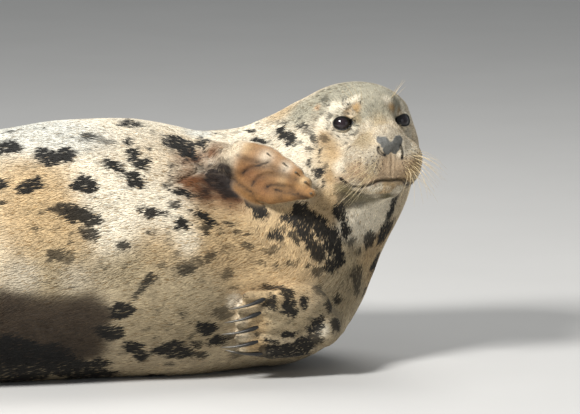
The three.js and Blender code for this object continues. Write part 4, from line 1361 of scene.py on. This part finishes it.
def limb_share(q):
    """For each limb, how much a point belongs to it, and its place in the limb's own frame."""
    shares = []
    for part in LIMBS:
        local = (q - part["place"]) @ part["turn"]
        reach = 330 if part["name"].startswith("hind") else 260
        share = smoothstep(-50, 5, local[:, 0]) * (local[:, 0] < reach) * own_flesh(part, q)
        shares.append((share, local))
    return shares


def lie_of(q, way):
    """The way the fur lies: back from the nose, down the neck, along the body and out to the digits."""
    tailwards, _, _ = along_trunk(q)
    nose = HEAD_TURN @ vec(0, -95, -42) + HEAD_PLACE
    from_nose = np.linalg.norm(q - nose, axis=1)
    flow = tailwards + vec(0, 0, -0.18)
    share = (1 - smoothstep(130, 240, from_nose))[:, None]
    flow = flow * (1 - share) + unit(q - nose) * share
    for (limb, local), part in zip(limb_share(q), LIMBS):
        spread = part["turn"] @ vec(1, 0, 0) + 0.004 * local[:, 1:2] * (part["turn"] @ vec(0, 1, 0))
        flow = flow * (1 - limb[:, None]) + spread * limb[:, None]
    flow = flow - np.sum(flow * way, axis=1)[:, None] * way
    return unit(flow)


ZONES = ["face", "crown", "throat", "neck", "chest", "flank_right", "flank_left", "belly", "rump", "fore_right",
         "fore_left", "hind_left", "hind_right"]


def zone_of(q):
    """The number of the coat piece each point belongs to, and its place on the unwrap of that piece."""
    h = head_frame(q)
    _, along, middle = along_trunk(q)
    r = np.linalg.norm(h, axis=1)
    around = np.arctan2(q[:, 1] - middle[:, 1], q[:, 2] - middle[:, 2] + 0.3 * (q[:, 0] - middle[:, 0]))
    u, v = around / (2 * math.pi) + 0.5, along
    zone = np.full(len(q), ZONES.index("chest"))
    zone[q[:, 0] < 120] = ZONES.index("flank_right")
    zone[(q[:, 0] < 120) & (np.abs(around) > 2.2)] = ZONES.index("belly")
    zone[(q[:, 0] < 120) & (around > 0.3) & (around <= 2.2)] = ZONES.index("flank_left")
    zone[q[:, 0] < -560] = ZONES.index("rump")
    zone[(q[:, 0] > 60) & (q[:, 2] > 260)] = ZONES.index("neck")
    on_head_zone = r < 128
    zone[on_head_zone & (h[:, 1] < 20)] = ZONES.index("face")
    zone[on_head_zone & (h[:, 1] >= 20)] = ZONES.index("crown")
    head_u = np.arctan2(h[:, 0], -(h[:, 2] + 30)) / (2 * math.pi) + 0.5
    head_v = np.arccos(np.clip(-h[:, 1] / np.maximum(r, 1e-6), -1, 1)) / math.pi
    u = np.where(on_head_zone, head_u, u)
    v = np.where(on_head_zone, head_v, v)
    for (share, local), part in zip(limb_share(q), LIMBS):
        on = share > 0.5
        zone[on] = ZONES.index(part["name"])
        side = np.arctan2(local[:, 2] * 3, local[:, 1]) / (2 * math.pi) + 0.5
        u = np.where(on, side, u)
        v = np.where(on, local[:, 0] / 340, v)
    return zone, u, v


def tuft_roots():
    """Strews roots over the skin's triangles, closer together where the fur is finer."""
    skin.calc_loop_triangles()
    corners = np.empty(len(skin.loop_triangles) * 3, dtype=np.int64)
    skin.loop_triangles.foreach_get("vertices", corners)
    corners = corners.reshape(-1, 3)
    a, b, c = (skin_points[corners[:, i]] for i in range(3))
    area = np.linalg.norm(np.cross(b - a, c - a), axis=1) / 2
    middle = (a + b + c) / 3
    way = unit(np.cross(b - a, c - a))
    nose_away = np.linalg.norm(head_frame(middle) - vec(0, -80, -60), axis=1)
    density = 1 / np.interp(nose_away, [30, 110, 200, 330, 700], [2.7, 3.1, 5.2, 8.2, 10.0])
    for share, _ in limb_share(middle):
        density = np.maximum(density, share * 0.26)
    tri_bare = (bare[corners[:, 0]] + bare[corners[:, 1]] + bare[corners[:, 2]]) / 3
    density = density * (1 - smoothstep(0.08, 0.4, tri_bare))
    density = density * np.where((middle[:, 2] < 6) & (way[:, 2] < -0.7), 0.25, 1.0)
    wanted = density * area
    wanted *= TUFT_TOTAL / wanted.sum()
    chance = np.random.default_rng(7)
    total = np.concatenate([[0], np.cumsum(wanted)])
    number = np.floor(total + 0.5).astype(np.int64)
    pick = np.repeat(np.arange(len(wanted)), np.diff(number))
    s, t = np.sqrt(chance.random(len(pick))), chance.random(len(pick))
    w = np.stack([1 - s, s * (1 - t), s * t], axis=1)[:, :, None]
    tri = corners[pick]
    q = (skin_points[tri] * w).sum(axis=1)
    n = unit((skin_normals[tri] * w).sum(axis=1))
    return q, n, (bare[tri] * w[:, :, 0]).sum(axis=1)


def grow_coat():
    q, n, root_bare = tuft_roots()
    chance = np.random.default_rng(19)
    count = len(q)
    tone, depth, strength, _, _ = surface_of(q, n)
    jagged = depth + chance.normal(0, 1.6, count) + 2.6 * value_noise(q / 4.5, 63) + 2.6 * value_noise(q / 10, 64)
    dark = smoothstep(-1.5, 1.5, jagged) * strength * np.where(chance.random(count) < 0.07, 0.5, 1)
    speckle = chance.random(count) < 0.10 * smoothstep(-900, -100, q[:, 0]) + 0.04
    dark = np.maximum(dark, speckle * chance.uniform(0.1, 0.55, count) * (1 - root_bare))
    nose_away = np.linalg.norm(head_frame(q) - vec(0, -80, -60), axis=1)
    grain = 0.10 + 0.13 * (1 - smoothstep(60, 130, nose_away))
    tone = tone * (1 + chance.normal(0, 1, count) * grain)[:, None]
    brown = (chance.random(count) < 0.10 + 0.34 * (1 - smoothstep(55, 100, nose_away)))[:, None] * (
        1 - root_bare)[:, None]
    tone = tone * (1 - brown * (1 - np.array([0.62, 0.54, 0.44])))
    pale = (chance.random(count) < 0.08)[:, None]
    tone = np.clip(np.where(pale, tone * 1.22, tone), 0, 1)
    tone = tone + (COAL * 0.85 - tone) * (dark * 0.985)[:, None]
    long = np.interp(nose_away, [25, 60, 120, 200, 330, 700], [2.6, 3.8, 5.2, 7.5, 11.0, 13.0])
    wide = long * np.interp(nose_away, [25, 120, 700], [0.22, 0.18, 0.14])
    rise = coat_depth(q) * 0.86
    for share, _ in limb_share(q):
        long = long + (6.0 - long) * share
        wide = wide + (1.2 - wide) * share
        rise = rise + (0.62 - rise) * share
    size = chance.uniform(0.75, 1.2, count)
    long, wide = long * size, wide * chance.uniform(0.8, 1.2, count)
    clump = value_noise(q / 26, 61) * 0.16 + value_noise(q / 9, 62) * 0.10
    yaw = clump + chance.normal(0, 0.11, count)
    lie = lie_of(q, n)
    across = np.cross(n, lie)
    lie, across = (lie * np.cos(yaw)[:, None] + across * np.sin(yaw)[:, None],
                   across * np.cos(yaw)[:, None] - lie * np.sin(yaw)[:, None])
    lift_tip = rise * chance.uniform(0.55, 1.0, count)
    lift_mid = rise * chance.uniform(0.55, 0.9, count)

    def place(along, side, up):
        return q + lie * (along * long)[:, None] + across * (side * wide)[:, None] + n * up[:, None]

    sunk = np.full(count, -0.35)
    points = np.stack([
        place(0.0, -0.42, sunk), place(0.0, 0.42, sunk), place(0.0, 0.0, sunk + 0.30 * wide.clip(0, 1.2)),
        place(0.45, -0.5, lift_mid - 0.26 * wide), place(0.45, 0.5, lift_mid - 0.26 * wide),
        place(0.45, 0.0, lift_mid + 0.06 * wide), place(1.0, 0.0, lift_tip)], axis=1)
    points[:, :, 2] = np.maximum(points[:, :, 2], 0.25)
    along = np.array([0, 0, 0, 0.5, 0.5, 0.5, 1.0])
    across_uv = np.array([-1, 1, 0, -1, 1, 0, 0.0])
    zone, u, v = zone_of(q)
    pieces = []
    for index, name in enumerate(ZONES):
        members = np.where(zone == index)[0]
        parts = max(1, math.ceil(len(members) / 32000))
        order = members[np.argsort(q[members, 0])] if parts > 1 else members
        for number, chosen in enumerate(np.array_split(order, parts)):
            if not len(chosen):
                continue
            low, high = v[chosen].min(), v[chosen].max()
            spot = np.stack([u[chosen], (v[chosen] - low) / max(high - low, 1e-6)], axis=1) * 0.99 + 0.004
            label = "coat_" + name + (f"_{number + 1}" if parts > 1 else "")
            pieces.append(coat_piece(label, points[chosen], tone[chosen], along, across_uv, spot))
    return pieces


TUFT_FACES = [(0, 2, 5, 3), (2, 1, 4, 5), (3, 5, 6), (5, 4, 6)]


def coat_piece(name, points, tone, along, across_uv, spot):
    """Joins tufts into one mesh, with each tuft's tone and a small patch of its own on the unwrap."""
    count = len(points)
    mesh = bpy.data.meshes.new(name)
    mesh.vertices.add(count * 7)
    mesh.vertices.foreach_set("co", (points * MM).astype(np.float32).ravel())
    corner = np.concatenate([np.array(face) for face in TUFT_FACES])
    loops = (np.arange(count)[:, None] * 7 + corner[None, :]).ravel()
    mesh.loops.add(len(loops))
    mesh.loops.foreach_set("vertex_index", loops.astype(np.int32))
    sizes = np.tile([len(face) for face in TUFT_FACES], count)
    starts = np.concatenate([[0], np.cumsum(sizes)[:-1]])
    mesh.polygons.add(len(sizes))
    mesh.polygons.foreach_set("loop_start", starts.astype(np.int32))
    mesh.polygons.foreach_set("use_smooth", np.ones(len(sizes), dtype=bool))
    mesh.update(calc_edges=True)
    vector_attribute(mesh, "tone", np.repeat(tone, 7, axis=0))
    number_attribute(mesh, "along", np.tile(along, count))
    chart = mesh.uv_layers.new(name="OFBake")
    patch = np.stack([across_uv, along * 2 - 1], axis=1)[corner] * 0.0015
    chart.data.foreach_set("uv", (spot[:, None, :] + patch[None]).astype(np.float32).ravel())
    return new_object(name, mesh)


coat_pieces = grow_coat()
fur = coat_finish("lying_fur", 0.62)
face_fur = coat_finish("face_fur", 0.66)
flipper_fur = coat_finish("flipper_fur", 0.6)
for piece in coat_pieces:
    short = piece.name[5:]
    slot = "face" if short.startswith("face") else "flipper_skin" if short.startswith(("fore", "hind")) else "coat"
    piece.data.materials.append({"face": face_fur, "flipper_skin": flipper_fur, "coat": fur}[slot])
    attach(piece, "root")


# ---------------------------------------------------------------- eyes
def eye_finish():
    """A near-black eye with a painted reflection, a faint violet sheen, in its middle, under a wet clear layer."""
    finish = Finish("wet_eye")
    gaze = finish.attribute("gaze")
    # The paler violet middle is a painted reflection.
    iris_with_painted_sheen = finish.mix(finish.span(gaze, 0.28, 0.62), paint(34, 26, 29), paint(14, 11, 10))
    speck = finish.span(finish.noise(700, 4, 0.6), 0.4, 0.75, 1.0, 1.5)
    iris_with_painted_sheen = finish.mix(1.0, iris_with_painted_sheen, combine(finish, speck), "MULTIPLY")
    edge = finish.span(gaze, 0.78, 1.0)
    finish.link(finish.mix(edge, iris_with_painted_sheen, paint(8, 7, 7)), finish.shader.inputs["Base Color"])
    finish.link(finish.span(finish.noise(90), 0.3, 0.7, 0.10, 0.2), finish.shader.inputs["Roughness"])
    finish.bump(finish.noise(260, 2), 0.0002, 0.12)
    finish.set(Coat_Weight=0.7, Coat_Roughness=0.04, Coat_IOR=1.36, Specular_IOR_Level=0.25)
    return finish.material


wet_eye = eye_finish()
for name, eye in EYES.items():
    work = bmesh.new()
    bmesh.ops.create_uvsphere(work, u_segments=56, v_segments=36, radius=EYE_RADIUS * MM)
    mesh = bpy.data.meshes.new("eyeball_" + name)
    work.to_mesh(mesh)
    work.free()
    ball = mesh_points(mesh)
    # The pole looks out along the gaze, and the cornea stands a little proud of the ball.
    gaze = np.arccos(np.clip(ball[:, 2] / EYE_RADIUS, -1, 1))
    ball = ball * (1 + 0.022 * np.exp(-(gaze / 0.5) ** 2))[:, None]
    set_points(mesh, np.stack([ball[:, 0], -ball[:, 2], ball[:, 1]], axis=1) @ eye["turn"].T + eye["place"])
    number_attribute(mesh, "gaze", gaze)
    for face in mesh.polygons:
        face.use_smooth = True
    mesh.materials.append(wet_eye)
    piece = new_object("eyeball_" + name, mesh)
    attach(piece, "root")
    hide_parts("eye_" + name)


# ---------------------------------------------------------------- claws
def claw_finish():
    """Slate horn, ribbed along its length and paler and more worn at its tip."""
    finish = Finish("claw_horn")
    along = finish.attribute("along")
    horn = finish.mix(finish.span(along, 0.25, 0.95), paint(24, 23, 22), paint(92, 86, 74))
    streak = finish.span(finish.noise(500, 4, 0.7), 0.3, 0.7, 0.7, 1.2)
    finish.link(finish.mix(1.0, horn, combine(finish, streak), "MULTIPLY"), finish.shader.inputs["Base Color"])
    finish.link(finish.span(finish.noise(300), 0.3, 0.7, 0.28, 0.48), finish.shader.inputs["Roughness"])
    finish.bump(finish.noise(900, 3), 0.0003, 0.5)
    finish.set(Specular_IOR_Level=0.5)
    return finish.material


def share_along(q, spines):
    """How far along its nearest claw each point lies, from 0 at the root to 1 at the tip."""
    share, nearest = np.zeros(len(q)), np.full(len(q), np.inf)
    for root, tip in spines:
        way = tip - root
        along = np.clip((q - root) @ way / (way @ way), 0, 1)
        away = np.linalg.norm(q - root - along[:, None] * way, axis=1)
        share, nearest = np.where(away < nearest, along, share), np.minimum(away, nearest)
    return share


claw_horn = claw_finish()
# How far each claw of the folded hand turns down past its place in the frame, in degrees, from the topmost.
CLAW_BENDS = {"fore_left": [-25, -24, -20, -18, -4]}
for part in LIMBS:
    where, side = part["name"].split("_")
    nodes = [f"{where}_claw_{side}_{digit}" for digit in range(1, 6)]
    work = bmesh.new()
    spines = []
    for node, bend in zip(nodes, CLAW_BENDS.get(part["name"], [0] * 5)):
        first = len(work.verts)
        work.from_mesh(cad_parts[node].data)
        work.verts.ensure_lookup_table()
        added = work.verts[first:]
        points = np.array([v.co for v in added]) / MM
        reach = ((points - part["place"]) @ part["turn"])[:, 0]
        root, tip = points[reach < reach.min() + 4].mean(0), points[reach > reach.max() - 1].mean(0)
        turn = Matrix.Rotation(math.radians(bend), 3, Vector(SIGHT))
        bmesh.ops.rotate(work, verts=added, cent=Vector(root * MM), matrix=turn)
        spines.append((root, root + np.array(turn) @ (tip - root)))
    bmesh.ops.remove_doubles(work, verts=work.verts, dist=0.00002)
    # The CAD's own coordinates are in the row frame already.
    bmesh.ops.subdivide_edges(work, edges=work.edges[:], cuts=1, smooth=0.6, use_grid_fill=True)
    bmesh.ops.smooth_vert(work, verts=work.verts, factor=0.35, use_axis_x=True, use_axis_y=True, use_axis_z=True)
    bmesh.ops.recalc_face_normals(work, faces=work.faces)
    mesh = bpy.data.meshes.new(f"claws_{where}_{side}")
    work.to_mesh(mesh)
    work.free()
    number_attribute(mesh, "along", share_along(mesh_points(mesh), spines))
    for face in mesh.polygons:
        face.use_smooth = True
    mesh.materials.append(claw_horn)
    piece = new_object(f"claws_{where}_{side}", mesh)
    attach(piece, "root")
    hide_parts(*nodes)


# ---------------------------------------------------------------- whiskers and their roots
def hair_tube(path, root_radius, tip_radius, sides=6):
    """The points and faces of a thin tapered tube along a path, closed at its tip."""
    path = np.array(path, dtype=float)
    way = unit(np.gradient(path, axis=0))
    side = unit(np.cross(way, vec(0.3, 0.2, 0.9)))
    up = np.cross(way, side)
    turn = np.arange(sides) * 2 * math.pi / sides
    radius = np.linspace(root_radius, tip_radius, len(path))[:, None, None]
    ring = (np.cos(turn)[None, :, None] * side[:, None] + np.sin(turn)[None, :, None] * up[:, None]) * radius
    points = (path[:, None] + ring).reshape(-1, 3)
    faces = []
    for i in range(len(path) - 1):
        for j in range(sides):
            k = (j + 1) % sides
            faces.append((i * sides + j, i * sides + k, (i + 1) * sides + k, (i + 1) * sides + j))
    faces.append(tuple(range(sides))[::-1])
    faces.append(tuple((len(path) - 1) * sides + j for j in range(sides)))
    return points, faces


def face_point(x, z):
    """The skin of the face straight behind a point given across the head."""
    found, way, _, _ = skin_tree.ray_cast(Vector(head_point(x, -300, z) * MM), Vector(HEAD_TURN @ vec(0, 1, 0)))
    return (np.array(found) / MM, np.array(way)) if found is not None else (None, None)


skin_tree = tree_of(skin)
WHISKER_LIMIT = 455
VISIBLE_TIPS = {
    # root across the head (x, z) and the tip in pixels, for the whiskers that catch the light
    1: [((40, -58), (438, 160)), ((46, -64), (442, 173)), ((44, -70), (439, 186)), ((38, -76), (431, 196)),
        ((34, -82), (423, 204)), ((50, -58), (441, 166)), ((48, -78), (435, 192)), ((54, -68), (442, 180)),
        ((30, -86), (414, 207)), ((28, -80), (405, 206)), ((26, -88), (398, 202)), ((50, -84), (428, 200))],
    -1: [((-34, -66), (334, 195)), ((-30, -70), (338, 204)), ((-38, -74), (326, 196)), ((-44, -78), (322, 188)),
         ((-36, -82), (343, 206)), ((-28, -78), (348, 207)), ((-48, -70), (318, 182)), ((-40, -88), (333, 208))],
}
FOLLICLE_ROWS = [(-50, [26, 34, 43, 51]), (-57, [22, 30, 38, 47, 56]), (-64, [20, 28, 36, 45, 54, 62]),
                 (-71, [20, 28, 37, 46, 55, 63]), (-78, [22, 30, 39, 48, 57]), (-85, [24, 33, 42, 51]),
                 (-92, [28, 37, 46])]


def whisker_paths():
    chance = np.random.default_rng(23)
    paths, roots = [], []
    for side in (1, -1):
        for (x, z), (u, v) in VISIBLE_TIPS[side]:
            root, _ = face_point(x, z)
            off = float((root - EYE_POINT) @ SIGHT) - (12 if side > 0 else 20)
            tip = EYE_POINT + sight_line(u, v) * off
            start = unit(head_point(x + side * 8, -110, z - 2) - head_point(x, -80, z))
            reach = np.linalg.norm(tip - root)
            bend = root + start * reach * 0.42
            t = np.linspace(0, 1, 14)[:, None]
            paths.append(((1 - t) ** 2 * root + 2 * t * (1 - t) * bend + t ** 2 * tip, 0.5))
            roots.append((x, z))
        for z, row in FOLLICLE_ROWS:
            for x in row:
                x_here, z_here = side * (x + chance.normal(0, 0.9)), z + chance.normal(0, 0.9)
                roots.append((x_here, z_here))
                if chance.random() < 0.42:
                    continue
                root, way = face_point(x_here, z_here)
                if root is None:
                    continue
                length = np.interp(x, [20, 62], [26, 74]) * chance.uniform(0.7, 1.15)
                out = unit(HEAD_TURN @ vec(side * (0.55 + 0.010 * x), -0.42, -0.30 - 0.01 * (-z - 50)) + way * 0.5)
                t = np.linspace(0, 1, 12)[:, None]
                drop = HEAD_TURN @ vec(side * 0.12, 0.42, -0.55)
                paths.append((root + out * length * t + drop * length * t ** 2 * 0.75, chance.uniform(0.26, 0.38)))
        for x, z, length, lean in ((33, 42, 46, 0.05), (38, 44, 40, 0.25), (29, 41, 34, -0.1), (42, 41, 30, 0.4)):
            root, way = face_point(side * x, z)
            out = unit(way * 0.9 + HEAD_TURN @ vec(side * lean, -0.25, 0.75))
            t = np.linspace(0, 1, 10)[:, None]
            back = HEAD_TURN @ vec(side * 0.25, 0.35, -0.2)
            paths.append((root + out * length * t + back * length * t ** 2 * 0.35, 0.4))
            roots.append((side * x, z))
    kept = []
    for path, radius in paths:
        while path[:, 0].max() > WHISKER_LIMIT:
            path = path[0] + (path - path[0]) * 0.94
        kept.append((path, radius))
    return kept, roots


def whisker_finish():
    """Pale horn-coloured bristle, dark where it leaves the skin."""
    finish = Finish("whisker_bristle")
    along = finish.attribute("along")
    tone = finish.mix(finish.span(along, 0.0, 0.22), paint(96, 78, 54), paint(206, 184, 142))
    band = finish.span(finish.noise(220, 2), 0.3, 0.7, 0.82, 1.05)
    finish.link(finish.mix(1.0, tone, combine(finish, band), "MULTIPLY"), finish.shader.inputs["Base Color"])
    finish.link(finish.span(finish.noise(300), 0.3, 0.7, 0.22, 0.4), finish.shader.inputs["Roughness"])
    finish.set(Specular_IOR_Level=0.6)
    return finish.material


def follicle_finish():
    """The dark pits that the whiskers grow from."""
    finish = Finish("follicle")
    finish.link(finish.mix(finish.noise(800), paint(26, 20, 16), paint(52, 40, 30)),
                finish.shader.inputs["Base Color"])
    finish.set(Roughness=0.6)
    return finish.material


paths, roots = whisker_paths()
points, faces, along, base = [], [], [], 0
for path, radius in paths:
    tube_points, tube_faces = hair_tube(path, radius, 0.09)
    points.append(tube_points)
    faces += [tuple(i + base for i in face) for face in tube_faces]
    along.append(np.repeat(np.linspace(0, 1, len(path)), 6))
    base += len(tube_points)
mesh = bpy.data.meshes.new("whiskers")
mesh.from_pydata((np.vstack(points) * MM).tolist(), [], faces)
number_attribute(mesh, "along", np.concatenate(along))
for face in mesh.polygons:
    face.use_smooth = True
mesh.materials.append(whisker_finish())
whiskers = new_object("whiskers", mesh)
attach(whiskers, "root")

work = bmesh.new()
for x, z in roots:
    root, way = face_point(x, z)
    if root is None or z > 0:
        continue
    turn = Vector(way).to_track_quat("Z", "Y").to_matrix().to_4x4()
    turn.translation = Vector((root + way * 0.15) * MM)
    made = bmesh.ops.create_uvsphere(work, u_segments=8, v_segments=5, radius=1.0 * MM)
    bmesh.ops.scale(work, vec=(1, 1, 0.8), verts=made["verts"])
    bmesh.ops.transform(work, matrix=turn, verts=made["verts"])
mesh = bpy.data.meshes.new("follicles")
work.to_mesh(mesh)
work.free()
for face in mesh.polygons:
    face.use_smooth = True
mesh.materials.append(follicle_finish())
follicles = new_object("follicles", mesh)
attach(follicles, "root")

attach(skin_object, "root")
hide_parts("head", "neck", "chest", "belly", "rump", "tail", "fore_flipper_left", "fore_flipper_right",
            "hind_flipper_left", "hind_flipper_right")


# ---------------------------------------------------------------- camera, floor and lights
camera_data = bpy.data.cameras.new("camera")
camera_data.sensor_width = 36
camera_data.lens = FOCAL_PIXELS / PHOTO[0] * 36
camera_data.clip_end = 100
camera = new_object("camera", camera_data)
camera.location = Vector(EYE_POINT * MM)
camera.rotation_euler = Vector(SIGHT).to_track_quat("-Z", "Y").to_euler()
bpy.context.scene.camera = camera
bpy.context.scene.view_settings.view_transform = "Standard"

work = bmesh.new()
bmesh.ops.create_grid(work, x_segments=1, y_segments=1, size=12)
floor_mesh = bpy.data.meshes.new("floor")
work.to_mesh(floor_mesh)
work.free()
floor_finish = Finish("pale_floor")
floor_finish.link(floor_finish.mix(floor_finish.noise(3), paint(190, 188, 184), paint(184, 182, 178)),
                  floor_finish.shader.inputs["Base Color"])
floor_finish.set(Roughness=0.85)
floor_mesh.materials.append(floor_finish.material)
floor = new_object("floor", floor_mesh)

world = bpy.data.worlds.new("studio")
world.use_nodes = True
world.node_tree.nodes["Background"].inputs["Color"].default_value = (0.90, 0.95, 1.0, 1)
world.node_tree.nodes["Background"].inputs["Strength"].default_value = 0.31
bpy.context.scene.world = world

for name, place, size, power in (("key", (-2.4, -3.3, 3.5), 1.0, 450), ("top", (0.6, 1.2, 4.2), 2.4, 90),
                                 ("fill", (3.2, -3.0, 1.2), 2.0, 9)):
    lamp = bpy.data.lights.new(name, "AREA")
    lamp.size = size
    lamp.energy = power
    light = new_object(name, lamp)
    light.location = place
    light.rotation_euler = (Vector((-0.1, 0, 0.25)) - Vector(place)).to_track_quat("-Z", "Y").to_euler()
